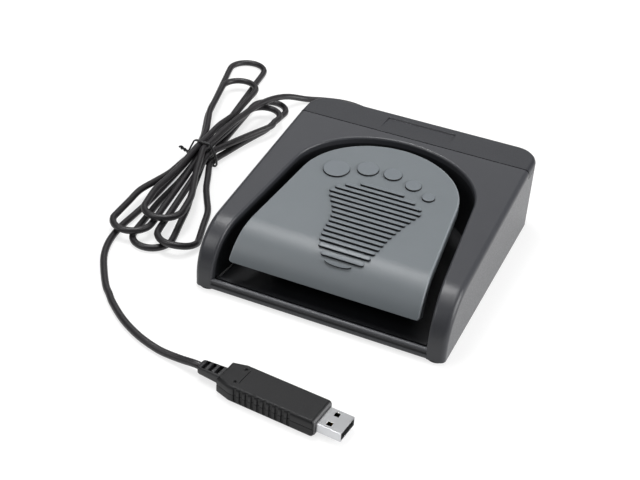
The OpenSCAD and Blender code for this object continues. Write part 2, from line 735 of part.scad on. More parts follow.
module switch_lever() {
    knuckle = pin_d + 1;
    color("#c9ccd0") difference() {
        union() {
            translate([0, lever_y, lever_z])
                rotate([0, 90, 0])
                    cylinder(d = knuckle, h = lever_w - 0.2, center = true);
            translate([0, lever_y, lever_z])
                rotate([-lever_rise, 0, 0])
                    translate([-lever_w / 2 + 0.1, -lever_l, 0])
                        cube([lever_w - 0.2, lever_l, lever_t]);
        }
        translate([0, lever_y, lever_z])
            rotate([0, 90, 0])
                cylinder(d = pin_d + 2 * pin_play, h = 2 * lever_w, center = true);
    }
}

module switch_plunger() {
    color("#b03a2e")
        translate([0, plunger_y, switch_top - 2]) cylinder(d = plunger_d, h = plunger_top - switch_top + 2);
}

module switch_terminals() {
    color("#d8c9a0")
        for (k = [-1 : 1])
            translate([0, switch_y + k * (switch_l / 2 - 1.5), switch_z - terminal_l / 2])
                cube([3.2, 0.5, terminal_l], center = true);
}

module switch_screws() {
    head = 3.8;
    color("#8f9296")
        for (s = [-1, 1])
            translate([-switch_w / 2, switch_y + s * hole_spread / 2, hole_z])
                rotate([0, 90, 0]) {
                    cylinder(d = small_screw_d - 0.1, h = switch_w + bracket_t - 0.2);
                    translate([0, 0, -1.4]) cylinder(d = head, h = 1.4);
                }
}

module switch_leads() {
    color("#7a1f1c") tube(smooth(lead_routes[0], 2), lead_d, 6);
    color("#1a1a1a") tube(smooth(lead_routes[1], 2), lead_d, 6);
}

module bumper(s) {
    color("#202124") translate([s * bumper_x, bumper_y, base_top]) cylinder(d = bumper_d, h = bumper_h);
}

module bumper_left() bumper(-1);
module bumper_right() bumper(1);

module cable_clamp() {
    color("#2c2d30") difference() {
        translate([grommet_x - clamp_w / 2, clamp_y, grommet_z + 0.1]) cube([clamp_w, clamp_len, clamp_h]);
        translate([grommet_x, clamp_y - 1, grommet_z])
            rotate([-90, 0, 0])
                cylinder(d = cord_d, h = clamp_len + 2);
        for (s = [-1, 1])
            screw_hole(grommet_x + s * clamp_screw_x, clamp_y + clamp_len / 2, small_screw_d, grommet_z - 1,
                grommet_z + clamp_h + 1);
    }
}

module clamp_screws() {
    color("#8f9296")
        for (s = [-1, 1])
            translate([grommet_x + s * clamp_screw_x, clamp_y + clamp_len / 2, base_top + 0.5]) {
                cylinder(d = small_screw_d - 0.1, h = grommet_z + 0.1 + clamp_h - base_top - 0.5);
                translate([0, 0, grommet_z + 0.1 + clamp_h - base_top - 0.5]) cylinder(d = 3.8, h = 1.4);
            }
}

// End of the cord, from inside the rear bay to the tip of the grommet
module cord_tail() {
    color("#2c2b2d")
        translate([grommet_x, tail_end_y, grommet_z])
            rotate([-90, 0, 0])
                cylinder(d = cord_d - 0.1, h = y_back + grommet_l - tail_end_y);
}

module cord_grommet() {
    color("#242426")
        translate([grommet_x, y_back, grommet_z])
            rotate([-90, 0, 0])
                difference() {
                    union() {
                        cylinder(d1 = grommet_d + 1.5, d2 = grommet_tip_d, h = grommet_l);
                        translate([0, 0, -wall - flange_t]) cylinder(d = grommet_d - 0.1, h = wall + flange_t + eps);
                        translate([0, 0, -wall - flange_t]) cylinder(d = grommet_d + 2.5, h = flange_t);
                    }
                    translate([0, 0, -wall - flange_t - 1]) cylinder(d = cord_d, h = grommet_l + wall + flange_t + 2);
                }
}

// Foot: a rubber disc under the case, held by a stud in the tray
module foot(x, y) {
    color("#1b1b1d") translate([x, y, 0]) {
        cylinder(d = foot_d, h = foot_h);
        cylinder(d = stud_d, h = foot_h + foot_sink);
    }
}

module foot_front_left() foot(-foot_front[0], foot_front[1]);
module foot_front_right() foot(foot_front[0], foot_front[1]);
module foot_rear_left() foot(-foot_rear[0], foot_rear[1]);
module foot_rear_right() foot(foot_rear[0], foot_rear[1]);

module case_screws() {
    color("#8f9296")
        for (b = boss_places)
            translate([b[0], b[1], foot_h]) {
                cylinder(d = head_d, h = head_t);
                cylinder(d = screw_d, h = base_t + screw_bite);
            }
}

// Hank: each half turn runs from the waist round its fold and back to the waist.
// Even half turns fold at the lower end and odd ones at the upper end.
run_in = 22;
arc_pts = 7;
function level_z(level) = lie + hank_step * level;
function run_pt(a, b, far, level) =
    let (d = unit([b[0] - a[0], b[1] - a[1]]))
        [a[0] + d[0] * far, a[1] + d[1] * far, level_z(level)];
function half_turn(k) =
    let (
        f = folds[k],
        c = [f[0], f[1], 0],
        away = [c[0] - waist[0], c[1] - waist[1], 0],
        out = unit(away),
        over = asin(f[2] / norm(away)),
        start = f[5] * (out[1] < 0 ? [-out[1], out[0], 0] : [out[1], -out[0], 0]),
        straight = [0, (k % 2 == 0 ? -1 : 1) * cord_d, 0],
        from = waist_pt(k) + straight,
        to = waist_pt(k + 1) + straight,
        arc = [for (i = [0 : arc_pts])
            let (
                a = i * (180 + 2 * over) / arc_pts - over,
                part = max(0, 2 * i / arc_pts - 1),
                level = f[3] + (f[4] - f[3]) * part
            )
                [c[0], c[1], level_z(level)] + f[2] * (cos(a) * start + sin(a) * out)]
    )
    concat(
        [waist_pt(k), from, run_pt(from, arc[0], run_in, strands[k][1]),
            run_pt(from, arc[0], 2 * run_in, f[3]) + f[6] * start],
        arc,
        [run_pt(to, arc[arc_pts], 2 * run_in, f[4]) - f[7] * start,
            run_pt(to, arc[arc_pts], run_in, strands[k + 1][1]), to]
    );
hank_path = concat([for (k = [0 : len(folds) - 1]) each half_turn(k)], [waist_pt(len(folds))]);

// Least gap of the hank to itself, measured on points along its straight stretches
gap_steps = 6;
gap_pts = [for (i = [0 : last(hank_path) - 1])
    for (u = [0 : gap_steps - 1]) hank_path[i] + (hank_path[i + 1] - hank_path[i]) * u / gap_steps];
gap_skip = 4 * gap_steps;
hank_gap = min([for (i = [0 : last(gap_pts) - gap_skip])
    min([for (j = [i + gap_skip : last(gap_pts)]) norm(gap_pts[i] - gap_pts[j])])]) - cord_d;

module cord_hank() {
    echo(least_gap_of_hank = hank_gap);
    color("#2c2b2d") tube(hank_path, cord_d, 6);
}

// Free stretch of the cord, which lies on the floor and never under it
function on_floor(path) = [for (p = path) [p[0], p[1], max(p[2], lie)]];

module cord_lead_in() {
    color("#2c2b2d") tube(on_floor(smooth(lead_in_route, 2)), cord_d, 8);
}

module cord_lead_out() {
    color("#2c2b2d") tube(on_floor(smooth(lead_out_route, 2)), cord_d, 8);
}

// Band round the waist of the hank, wide below and narrow on top, with its ends twisted on the left
module cable_tie() {
    clear = cord_d / 2 + 0.3;
    wide = 1.5 * hank_step + clear;
    narrow = 0.5 * hank_step + clear + 0.4;
    z0 = hank_low - clear;
    z1 = hank_low + 2 * hank_step + clear;
    knee = hank_low + cord_d / 2 + 1;
    color("#222224")
        translate([waist[0], waist[1], 0]) {
            rotate([90, 0, 0])
                linear_extrude(height = tie_w, center = true)
                    difference() {
                        polygon([[-wide - tie_t, z0 - tie_t], [wide + tie_t, z0 - tie_t], [wide + tie_t, knee],
                            [narrow + tie_t, z1 + tie_t], [-narrow - tie_t, z1 + tie_t], [-wide - tie_t, knee]]);
                        polygon([[-wide, z0], [wide, z0], [wide, knee - tie_t / 2], [narrow, z1], [-narrow, z1],
                            [-wide, knee - tie_t / 2]]);
                    }
            for (s = [-1, 1])
                translate([-wide - tie_t / 2, s * 0.6, knee - 1])
                    rotate([0, -70, s * 5])
                        cylinder(d = 1, h = 6);
        }
}

module at_plug() {
    translate([plug_at[0], plug_at[1], 0]) rotate([0, 0, plug_yaw]) children();
}

// Plan of the plug case: square at the shell and chamfered at the cord, drawn in by an inset
plug_taper = atan(plug_chamfer_w / plug_chamfer_l);

module plug_plan(inset) {
    half = plug_w / 2 - inset;
    x_end = inset - plug_l;
    x_side = plug_chamfer_l - plug_l + inset * tan(plug_taper / 2);
    y_end = plug_w / 2 - plug_chamfer_w - inset * tan(45 - plug_taper / 2);
    polygon([[-inset, -half], [-inset, half], [x_side, half], [x_end, y_end], [x_end, -y_end], [x_side, -half]]);
}

module plug_hollow() {
    translate([0, 0, plug_wall]) linear_extrude(height = plug_h - 2 * plug_wall) plug_plan(plug_wall);
    translate([-2 * plug_wall, -shell_w / 2 - 0.1, plug_mid - shell_h / 2 - 0.1])
        cube([3 * plug_wall, shell_w + 0.2, shell_h + 0.2]);
}

module grip_grooves() {
    groove_w = 1.2;
    groove_in = 0.7;
    first = -11.5;
    plain_l = 14.8;
    pitch = (plug_l - plug_chamfer_l - plain_l) / (groove_count - 1);
    for (s = [-1, 1], i = [0 : groove_count - 1])
        translate([first - i * pitch, s * plug_w / 2, plug_mid])
            cube([groove_w, 2 * groove_in, plug_h - 3], center = true);
}

module plug_half(low) {
    difference() {
        translate([0, 0, low]) linear_extrude(height = plug_mid) plug_plan(0);
        plug_hollow();
        grip_grooves();
    }
}

module plug_case_bottom() {
    color("#39393b") at_plug() union() {
        plug_half(0);
        for (x = [-plug_l + 9, -12], s = [-1, 1])
            translate([x, s * 5, plug_wall - eps]) cylinder(d = 2, h = 1.2);
    }
}

module plug_case_top() {
    color("#3c3c3e") at_plug() plug_half(plug_mid);
}

board_z = plug_wall + 1.2;
board_t = 1.2;
chip_at = 30;
chip_w = 7;
crystal_at = 39;
crystal_l = 8;
crystal_w = 3.6;
crystal_h = 2.2;
board_back = 7;
board_front = 7.4;
board_gap = 0.6;

module plug_board() {
    color("#1f6b3a") at_plug()
        translate([-plug_l + board_back, -plug_w / 2 + plug_wall + board_gap, board_z])
            cube([plug_l - board_back - board_front, plug_w - 2 * (plug_wall + board_gap), board_t]);
}

module plug_controller() {
    color("#26272a") at_plug() translate([-chip_at, -chip_w / 2, board_z + board_t]) cube([chip_w, chip_w, board_t]);
}

module plug_crystal() {
    color("#b5b9bd") at_plug() translate([-crystal_at, -crystal_w / 2, board_z + board_t]) cube([crystal_l, crystal_w, crystal_h]);
}

module usb_shell() {
    window = 2.4;
    color("#c4c6c8") at_plug() difference() {
        translate([-shell_in, -shell_w / 2, plug_mid - shell_h / 2]) cube([shell_l + shell_in, shell_w, shell_h]);
        translate([-shell_in - 1, shell_t - shell_w / 2, plug_mid - shell_h / 2 + shell_t])
            cube([shell_l + shell_in + 2, shell_w - 2 * shell_t, shell_h - 2 * shell_t]);
        for (s = [-1, 1])
            translate([5.2, s * 3.2, plug_mid]) cube([window, window, 2 * shell_h], center = true);
    }
}

tongue_t = 1.9;

module usb_tongue() {
    color("#e4e4e0") at_plug()
        translate([-shell_in, shell_t - shell_w / 2, plug_mid - shell_h / 2 + shell_t])
            cube([shell_l + shell_in - 0.6, shell_w - 2 * shell_t, tongue_t]);
}

module usb_contacts() {
    color("#cfa94f") at_plug()
        for (y = [-3.5, -1, 1, 3.5])
            translate([-shell_in, y - 0.5, plug_mid - shell_h / 2 + shell_t + tongue_t])
                cube([shell_l + shell_in - 2, 1, 0.15]);
}

// Strain relief: a tapered block with three windows in its top and its underside
module plug_strain_relief() {
    root = [6.2, 7.6];
    tip = [5, 6.2];
    window_l = 1.7;
    window_w = 4.6;
    window_pitch = 3.2;
    color("#2f2f31") at_plug()
        translate([-plug_l, 0, plug_mid])
            difference() {
                rotate([0, -90, 0])
                    linear_extrude(height = relief_l, scale = [tip[0] / root[0], tip[1] / root[1]], slices = 1)
                        square(root, center = true);
                for (i = [0 : 2], s = [-1, 1])
                    translate([-2.4 - i * window_pitch, 0, s * root[0] / 2])
                        cube([window_l, window_w, 2.4], center = true);
            }
}

base_tray();
top_housing();
rear_cover();
pedal_plate();
pivot_axle();
axle_clips();
return_spring_left();
return_spring_right();
switch_body();
switch_lever();
switch_plunger();
switch_terminals();
switch_screws();
switch_leads();
bumper_left();
bumper_right();
cable_clamp();
clamp_screws();
cord_tail();
cord_grommet();
foot_front_left();
foot_front_right();
foot_rear_left();
foot_rear_right();
case_screws();
cord_lead_in();
cord_hank();
cable_tie();
cord_lead_out();
plug_strain_relief();
plug_case_bottom();
plug_case_top();
plug_board();
plug_controller();
plug_crystal();
usb_shell();
usb_tongue();
usb_contacts();
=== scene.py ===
"""USB foot pedal switch: the dressed model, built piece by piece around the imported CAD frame."""

import logging
import math
from dataclasses import dataclass, field
from enum import Enum
from typing import Any, Callable, Iterable, Optional, Sequence

import bmesh
import bpy
from mathutils import Matrix, Vector


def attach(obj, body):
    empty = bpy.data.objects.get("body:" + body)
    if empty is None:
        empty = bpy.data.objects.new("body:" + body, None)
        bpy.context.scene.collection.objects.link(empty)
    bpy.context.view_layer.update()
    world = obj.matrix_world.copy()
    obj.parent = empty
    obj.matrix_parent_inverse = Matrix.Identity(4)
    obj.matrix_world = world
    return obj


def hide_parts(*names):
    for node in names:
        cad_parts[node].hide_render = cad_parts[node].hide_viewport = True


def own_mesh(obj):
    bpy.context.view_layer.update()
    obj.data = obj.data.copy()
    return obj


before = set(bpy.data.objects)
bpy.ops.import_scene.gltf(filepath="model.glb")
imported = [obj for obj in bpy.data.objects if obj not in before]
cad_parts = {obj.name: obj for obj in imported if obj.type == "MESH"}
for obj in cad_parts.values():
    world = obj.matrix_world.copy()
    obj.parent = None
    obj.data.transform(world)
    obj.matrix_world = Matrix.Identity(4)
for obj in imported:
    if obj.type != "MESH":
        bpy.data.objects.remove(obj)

LOG = logging.getLogger("foot_pedal")
MM = 0.001
QUARTER = math.pi / 2
RIGHT = Vector((1, 0, 0))
BACKWARD = Vector((0, 1, 0))
UP = Vector((0, 0, 1))
# Takes a place or a direction to the other side of the middle.
FLIP = Vector((-1, 1, 1))
# Points are one point where they agree to this fraction of a millimetre.
PLACES_PER_MM = 400
# Points of a CAD mesh that are nearer than this many millimetres are joined.
WELD_MM = 0.002
# Stretches of a route that are shorter than this many millimetres are dropped.
LEAST_STRETCH = 0.01
# Edges that turn by more degrees than this stay sharp: on plain pieces, on soft ones and on tubes.
SHARP_DEG, SOFT_DEG, TUBE_DEG = 40.0, 50.0, 60.0


class Body(Enum):
    """The bodies that new pieces ride on."""

    BASE = "base"
    PEDAL = "pedal"
    COVER = "cover"


class Slot(Enum):
    """The record's material slots, named for new pieces."""

    HOUSING = "housing_plastic"
    COVER = "cover_plastic"
    PEDAL = "pedal_plastic"
    TIE = "tie_plastic"
    PLUG = "plug_plastic"
    CORD = "cord_pvc"
    WIRE = "wire_pvc"
    SPRING = "spring_steel"


def hex_linear(code: str) -> tuple[float, float, float, float]:
    """Turns an sRGB hex colour into linear values.

    Args:
        code: The colour as "#rrggbb".

    Returns:
        Red, green, blue and an alpha of 1, linear.
    """
    parts = [int(code[i : i + 2], 16) / 255 for i in (1, 3, 5)]
    red, green, blue = (c / 12.92 if c <= 0.04045 else ((c + 0.055) / 1.055) ** 2.4 for c in parts)
    return red, green, blue, 1.0


def add_node(
    tree: bpy.types.NodeTree,
    kind: str,
    settings: Optional[dict[str, Any]] = None,
    inputs: Optional[dict[Any, Any]] = None,
) -> bpy.types.Node:
    """Adds one shader node with its settings, values and links.

    Args:
        tree: The material's node tree.
        kind: The node's type name.
        settings: Properties of the node itself.
        inputs: Socket name or number to a value, or to an output socket to link from.

    Returns:
        The new node.
    """
    node = tree.nodes.new(kind)
    for name, value in (settings or {}).items():
        setattr(node, name, value)
    for name, value in (inputs or {}).items():
        if isinstance(value, bpy.types.NodeSocket):
            tree.links.new(value, node.inputs[name])
        else:
            node.inputs[name].default_value = value
    return node


def new_material(name: str) -> tuple[bpy.types.Material, bpy.types.NodeTree, bpy.types.Node]:
    """Starts a material.

    Args:
        name: Its name.

    Returns:
        The material, its node tree and its surface shader.
    """
    material = bpy.data.materials.new(name)
    material.use_nodes = True
    return material, material.node_tree, material.node_tree.nodes["Principled BSDF"]


def add_object(name: str, data: bpy.types.ID) -> bpy.types.Object:
    """Puts new data into the scene as an object.

    Args:
        name: Name of the object.
        data: Its mesh, curve, light or camera.

    Returns:
        The new object, at the origin.
    """
    made = bpy.data.objects.new(name, data)
    bpy.context.scene.collection.objects.link(made)
    return made


@dataclass(frozen=True)
class Finish:
    """A surface: what it is made of, how it was made, and what that gives the eye."""

    name: str
    colour: str
    drift: str
    roughness: float
    spread: float = 0.06
    drift_mm: float = 20.0
    grain_mm: float = 0.8
    relief_mm: float = 0.02
    relief: float = 0.3
    stretch: tuple[float, float, float] = (1.0, 1.0, 1.0)
    metallic: float = 0.0
    ior: float = 1.5
    coat: float = 0.0
    sheen: float = 0.0

    def material(self) -> bpy.types.Material:
        """Builds the material the first time, and gives the same one each time.

        Returns:
            The material.
        """
        known = bpy.data.materials.get(self.name)
        if known:
            return known
        material, tree, shader = new_material(self.name)
        shader.inputs["Metallic"].default_value = self.metallic
        shader.inputs["Coat Weight"].default_value = self.coat
        shader.inputs["Sheen Weight"].default_value = self.sheen
        if not self.metallic:
            shader.inputs["IOR"].default_value = self.ior
        place = add_node(tree, "ShaderNodeTexCoord").outputs["Object"]
        laid = add_node(tree, "ShaderNodeMapping", {}, {"Vector": place, "Scale": self.stretch}).outputs[0]
        clouds = add_node(tree, "ShaderNodeTexNoise", {}, {
            "Vector": place, "Scale": 1 / (self.drift_mm * MM), "Detail": 4.0, "Roughness": 0.6})
        grain = add_node(tree, "ShaderNodeTexNoise", {}, {
            "Vector": laid, "Scale": 1 / (self.grain_mm * MM), "Detail": 3.0, "Roughness": 0.55})
        tint = add_node(tree, "ShaderNodeMix", {"data_type": "RGBA"}, {
            "Factor": clouds.outputs["Fac"], 6: hex_linear(self.colour), 7: hex_linear(self.drift)})
        gloss = add_node(tree, "ShaderNodeMapRange", {}, {
            "Value": grain.outputs["Fac"], "From Min": 0.3, "From Max": 0.7,
            "To Min": self.roughness - self.spread, "To Max": self.roughness + self.spread})
        bump = add_node(tree, "ShaderNodeBump", {}, {
            "Height": grain.outputs["Fac"], "Strength": self.relief, "Distance": self.relief_mm * MM})
        tree.links.new(tint.outputs["Result"], shader.inputs["Base Color"])
        tree.links.new(gloss.outputs["Result"], shader.inputs["Roughness"])
        tree.links.new(bump.outputs["Normal"], shader.inputs["Normal"])
        return material


# Moulded ABS from a spark-eroded tool: an even, fine matt grain that scatters highlights.
# The real grain is about 0.1 mm; it is drawn at 0.7 mm so that it shows in the render.
HOUSING_ABS = Finish(
    "abs_spark_textured_charcoal", "#3d3e42", "#424347", 0.34, grain_mm=0.7, relief_mm=0.03, ior=1.45)
COVER_ABS = Finish(
    "abs_spark_textured_lid", "#313236", "#36373b", 0.42, grain_mm=0.7, relief_mm=0.03, ior=1.45)
# Painted highlight: a paler finish on the top of the bead of the front sill, which shows as a paler line.
BEAD_PAINTED_HIGHLIGHT = Finish("abs_bead_painted_highlight", "#55565a", "#5b5c60", 0.36, grain_mm=0.7, relief_mm=0.02)
# The same tool finish in a lighter batch: the pedal's grain is finer and a little silkier.
PEDAL_ABS = Finish("abs_satin_moulded_grey", "#686e72", "#6f7579", 0.42, grain_mm=0.6, relief_mm=0.02)
RELIEF_ABS = Finish("abs_satin_moulded_relief", "#6a7075", "#71777c", 0.4, grain_mm=0.6, relief_mm=0.02)
# Painted highlight on the pedal's rounded rim: a paler line round the plate.
RIM_PAINTED_HIGHLIGHT = Finish("abs_rim_painted_highlight", "#7d8286", "#848a8e", 0.35, grain_mm=0.6, relief_mm=0.01)
# Painted shade on the upright walls of the relief: draws each bar and toe with a thin dull line.
RELIEF_PAINTED_SHADE = Finish("relief_wall_painted_shade", "#131416", "#1a1b1d", 0.6, grain_mm=0.5, drift_mm=4)
# Plain moulded ABS, near black, for the tray: smooth enough to catch a soft line of light on its lip. Its
# black is partly the tray's own colour and partly painted shade of the deep well, and the same black is
# painted shade on the housing's well walls and in the groove of the front sill.
TRAY_BLACK_AND_PAINTED_SHADE = Finish("abs_black_tray_and_painted_shade", "#191a1d", "#1f2023", 0.42, grain_mm=1.2, relief_mm=0.01)
# Glass-filled nylon of small moulded parts: dull, with a slightly cloudy skin.
SWITCH_NYLON = Finish("nylon_glass_filled_black", "#222326", "#2b2c2f", 0.55, grain_mm=0.5, drift_mm=4)
# Turned acetal: slick and red, with a clean edge to its highlight.
PLUNGER_ACETAL = Finish("acetal_turned_red", "#a83428", "#b23c30", 0.35, grain_mm=0.4, drift_mm=3)
# Moulded plug case: fine satin grain, darker than the housing.
PLUG_ABS = Finish(
    "abs_satin_plug_case", "#101012", "#151517", 0.45, grain_mm=0.55, drift_mm=9, relief_mm=0.05,
    relief=0.5, ior=1.4)
# Painted highlight: a pale grey on the plug's collar and on the beads along the well, standing in for the
# light that their smooth edges catch.
PALE_PAINTED_HIGHLIGHT = Finish("abs_pale_painted_highlight", "#59595a", "#5f5f60", 0.45, grain_mm=0.5, drift_mm=5)
# Moulded PBT deep in the plug's mouth: its own black taken down to almost black as painted shade, so that the
# mouth reads as a hole.
TONGUE_BLACK_AND_PAINTED_SHADE = Finish("pbt_black_tongue_and_painted_shade", "#060607", "#0a0a0b", 0.7, grain_mm=0.4, drift_mm=4, ior=1.2)
# Extruded soft PVC: smooth along its length, with a dull waxy highlight.
CORD_PVC = Finish("pvc_extruded_cord", "#211f22", "#292729", 0.42, grain_mm=0.9, drift_mm=14, relief_mm=0.03)
# Moulded soft PVC: a little duller than the cord, so that ribs and windows stand out.
RELIEF_PVC = Finish("pvc_moulded_strain_relief", "#222224", "#2a2a2c", 0.46, grain_mm=0.5, drift_mm=5)
# Extruded insulation of the thin wires: a soft sheen along each wire.
WIRE_RED = Finish("pvc_wire_red", "#7a1f1c", "#8a2824", 0.42, grain_mm=0.5, drift_mm=6)
WIRE_BLACK = Finish("pvc_wire_black", "#1d1d1f", "#262628", 0.42, grain_mm=0.5, drift_mm=6)
# Wire coated with PVC: dull, with a thin line of light along its edges.
TIE_PVC = Finish("pvc_coated_tie_wire", "#1e1e20", "#28282a", 0.5, grain_mm=0.6, drift_mm=4)
# Moulded rubber: very dull, with a faint bloom on the surface.
FOOT_RUBBER = Finish("rubber_moulded_black", "#1c1c1e", "#29292b", 0.75, grain_mm=0.6, drift_mm=3, sheen=0.15)
# Zinc-plated drawn steel: bright, with fine lines along the drawing.
ZINC_STEEL = Finish(
    "steel_zinc_plated", "#a9adb1", "#b9bdc1", 0.34, grain_mm=0.4, stretch=(0.1, 1, 1), metallic=1.0)
# Drawn spring wire: darker than the plated parts, with a bright line on each turn.
SPRING_WIRE = Finish("steel_spring_wire_drawn", "#8f9397", "#a6aaae", 0.3, grain_mm=0.4, metallic=1.0)
# Nickel-plated pressed sheet: satin, with faint rolling lines and soft reflections.
NICKEL_SHEET = Finish(
    "steel_nickel_plated_sheet", "#c4c5c7", "#d0d1d3", 0.3, spread=0.02, grain_mm=0.5,
    stretch=(1, 0.15, 1), relief_mm=0.004, relief=0.08, metallic=1.0)
# Gold-plated bronze: warm and bright, with narrow reflections.
GOLD_CONTACT = Finish("bronze_gold_plated", "#cfa94f", "#dab865", 0.25, grain_mm=0.4, metallic=1.0)
# Epoxy board under green solder mask: glossy, with the weave just visible.
BOARD_EPOXY = Finish(
    "epoxy_board_solder_mask", "#1c5f35", "#24713f", 0.35, grain_mm=0.6, drift_mm=5, coat=0.3)
# Moulded epoxy: matt and dark, so that the chip stands out from the glossy board.
CHIP_EPOXY = Finish("epoxy_moulded_chip", "#232427", "#2b2c2f", 0.55, grain_mm=0.3, drift_mm=3)


class Skin:
    """Points and faces of one piece, in millimetres. Points at the same place are joined."""

    def __init__(self) -> None:
        """Starts empty."""
        self.points: list[Vector] = []
        self.faces: list[list[int]] = []
        self._known: dict[tuple[int, ...], int] = {}

    def point(self, at: Vector) -> int:
        """Gives the number of a point, new or known.

        Args:
            at: Its place.

        Returns:
            Its number in the list of points.
        """
        key = tuple(round(c * PLACES_PER_MM) for c in at)
        if key not in self._known:
            self._known[key] = len(self.points)
            self.points.append(Vector(at))
        return self._known[key]

    def face(self, corners: Iterable[Vector]) -> None:
        """Adds one face, leaving out corners that repeat.

        Args:
            corners: Its corners in order.
        """
        ring = [self.point(p) for p in corners]
        ring = [n for i, n in enumerate(ring) if n != ring[i - 1]]
        if len(set(ring)) > 2:
            self.faces.append(ring)

    def rows(self, rows: Sequence[Sequence[Vector]], closed: bool = False) -> None:
        """Adds faces between neighbouring rows of points.

        Args:
            rows: Rows with the same number of points.
            closed: Whether each row's last point joins its first.
        """
        for a, b in zip(rows, rows[1:]):
            for i in range(len(a) if closed else len(a) - 1):
                j = (i + 1) % len(a)
                self.face([a[i], a[j], b[j], b[i]])

    def loft(self, rings: Sequence[Sequence[Vector]]) -> None:
        """Adds a closed form through rings of points, with both ends capped.

        Args:
            rings: Rings with the same number of points.
        """
        self.rows(rings, closed=True)
        self.face(rings[0])
        self.face(rings[-1])

    def hoop(self, rings: Sequence[Sequence[Vector]]) -> None:
        """Adds a closed form through rings of points, whose last ring joins its first."""
        self.rows([*rings, rings[0]], closed=True)

    def tube(self, path: Sequence[Vector], radius: float, sides: int) -> None:
        """Adds a round tube along a path, with both ends capped."""
        self.loft(tube_rings(path, radius, sides))

    def make(self, name: str, finish: Finish, sharp: float = SHARP_DEG) -> bpy.types.Object:
        """Turns the points and faces into an object with outward faces.

        Args:
            name: Name of the piece.
            finish: The surface it gets.
            sharp: Angle in degrees above which an edge stays sharp.

        Returns:
            The new object, at the origin.
        """
        mesh = bpy.data.meshes.new(name)
        mesh.from_pydata([p * MM for p in self.points], [], self.faces)
        work = bmesh.new()
        work.from_mesh(mesh)
        bmesh.ops.recalc_face_normals(work, faces=work.faces)
        highest = max(work.faces, key=lambda f: (f.calc_center_median().z, f.calc_area()))
        if highest.normal.z < 0:
            bmesh.ops.reverse_faces(work, faces=work.faces)
        work.to_mesh(mesh)
        work.free()
        mesh.shade_smooth()
        mesh.set_sharp_from_angle(angle=math.radians(sharp))
        piece = add_object(name, mesh)
        mesh.materials.append(finish.material())
        return piece


def modify(piece: bpy.types.Object, kind: str, **settings: Any) -> bpy.types.Object:
    """Adds one modifier.

    Args:
        piece: The piece, or a CAD node's object.
        kind: The modifier's type name.
        settings: Its properties.

    Returns:
        The same piece.
    """
    made = piece.modifiers.new(kind.lower(), kind)
    for name, value in settings.items():
        setattr(made, name, value)
    return piece


def thicken(piece: bpy.types.Object, wall_mm: float, even: bool = True) -> bpy.types.Object:
    """Gives an open skin a wall on its inner side, with sharp corners filled out where it is even."""
    return modify(piece, "SOLIDIFY", thickness=wall_mm * MM, offset=-1, use_even_offset=even)


def soften(
    piece: bpy.types.Object, width_mm: float, angle: float = SOFT_DEG, weld: bool = False
) -> bpy.types.Object:
    """Rounds the sharp edges of a piece a little, as a mould or a press does.

    Args:
        piece: The piece, or a CAD node's object.
        width_mm: Width of the rounding.
        angle: Edges sharper than this many degrees are rounded.
        weld: Whether points at the same place are joined first.

    Returns:
        The same piece.
    """
    if weld:
        modify(piece, "WELD", merge_threshold=WELD_MM * MM)
    return modify(
        piece, "BEVEL", width=width_mm * MM, segments=2, limit_method="ANGLE",
        angle_limit=math.radians(angle), harden_normals=True)


def flatten_shading(piece: bpy.types.Object) -> bpy.types.Object:
    """Lets the large faces lead the shading, so that flat panels stay flat."""
    return modify(piece, "WEIGHTED_NORMAL", keep_sharp=True, weight=80)


def carve(piece: bpy.types.Object, cutter: bpy.types.Object) -> bpy.types.Object:
    """Cuts one closed form out of another and keeps the result as the piece's mesh.

    Args:
        piece: The piece that is cut.
        cutter: The form taken away, which is removed afterwards.

    Returns:
        The same piece.
    """
    modify(piece, "BOOLEAN", object=cutter, operation="DIFFERENCE", solver="EXACT")
    bpy.context.view_layer.update()
    evaluated = piece.evaluated_get(bpy.context.evaluated_depsgraph_get())
    shaped = bpy.data.meshes.new_from_object(evaluated)
    piece.modifiers.clear()
    piece.data = shaped
    bpy.data.objects.remove(cutter)
    shaped.set_sharp_from_angle(angle=math.radians(SHARP_DEG))
    return piece


def line_with(
    piece: bpy.types.Object, finish: Finish, chosen: Callable[[Vector, Vector], bool]
) -> bpy.types.Object:
    """Gives some of a piece's faces a second finish.

    Args:
        piece: The piece.
        finish: The second finish.
        chosen: Tells from a face's centre in millimetres and its normal whether it gets the finish.

    Returns:
        The same piece.
    """
    piece.data.materials.append(finish.material())
    for face in piece.data.polygons:
        if chosen(face.center / MM, face.normal):
            face.material_index = len(piece.data.materials) - 1
    return piece


def settle(piece: bpy.types.Object, body: Body, slot: Slot, *nodes: str) -> bpy.types.Object:
    """Puts a finished piece on its body and says what it stands for.

    Args:
        piece: The finished piece, in place.
        body: The body it moves with.
        slot: The record's material slot of its finish; not used.
        nodes: CAD nodes that it replaces.

    Returns:
        The same piece.
    """
    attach(piece, body.value)
    if nodes:
        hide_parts(*nodes)
    LOG.info("%s rides on %s and stands for %s", piece.name, body.value, ", ".join(nodes) or "itself")
    return piece


def flowing(route: Sequence[Vector], steps: int) -> list[Vector]:
    """Runs a smooth curve through the points of a route.

    Args:
        route: Points in order, fairly evenly spaced.
        steps: Points made for each stretch.

    Returns:
        Points along the curve, both ends included.
    """
    made = []
    for i in range(len(route) - 1):
        a, b = route[max(i - 1, 0)], route[i]
        c, d = route[i + 1], route[min(i + 2, len(route) - 1)]
        for k in range(steps):
            u = k / steps
            bend = (2 * a - 5 * b + 4 * c - d) * u * u
            swing = (3 * b - a - 3 * c + d) * u * u * u
            made.append(0.5 * (2 * b + (c - a) * u + bend + swing))
    made.append(Vector(route[-1]))
    return made


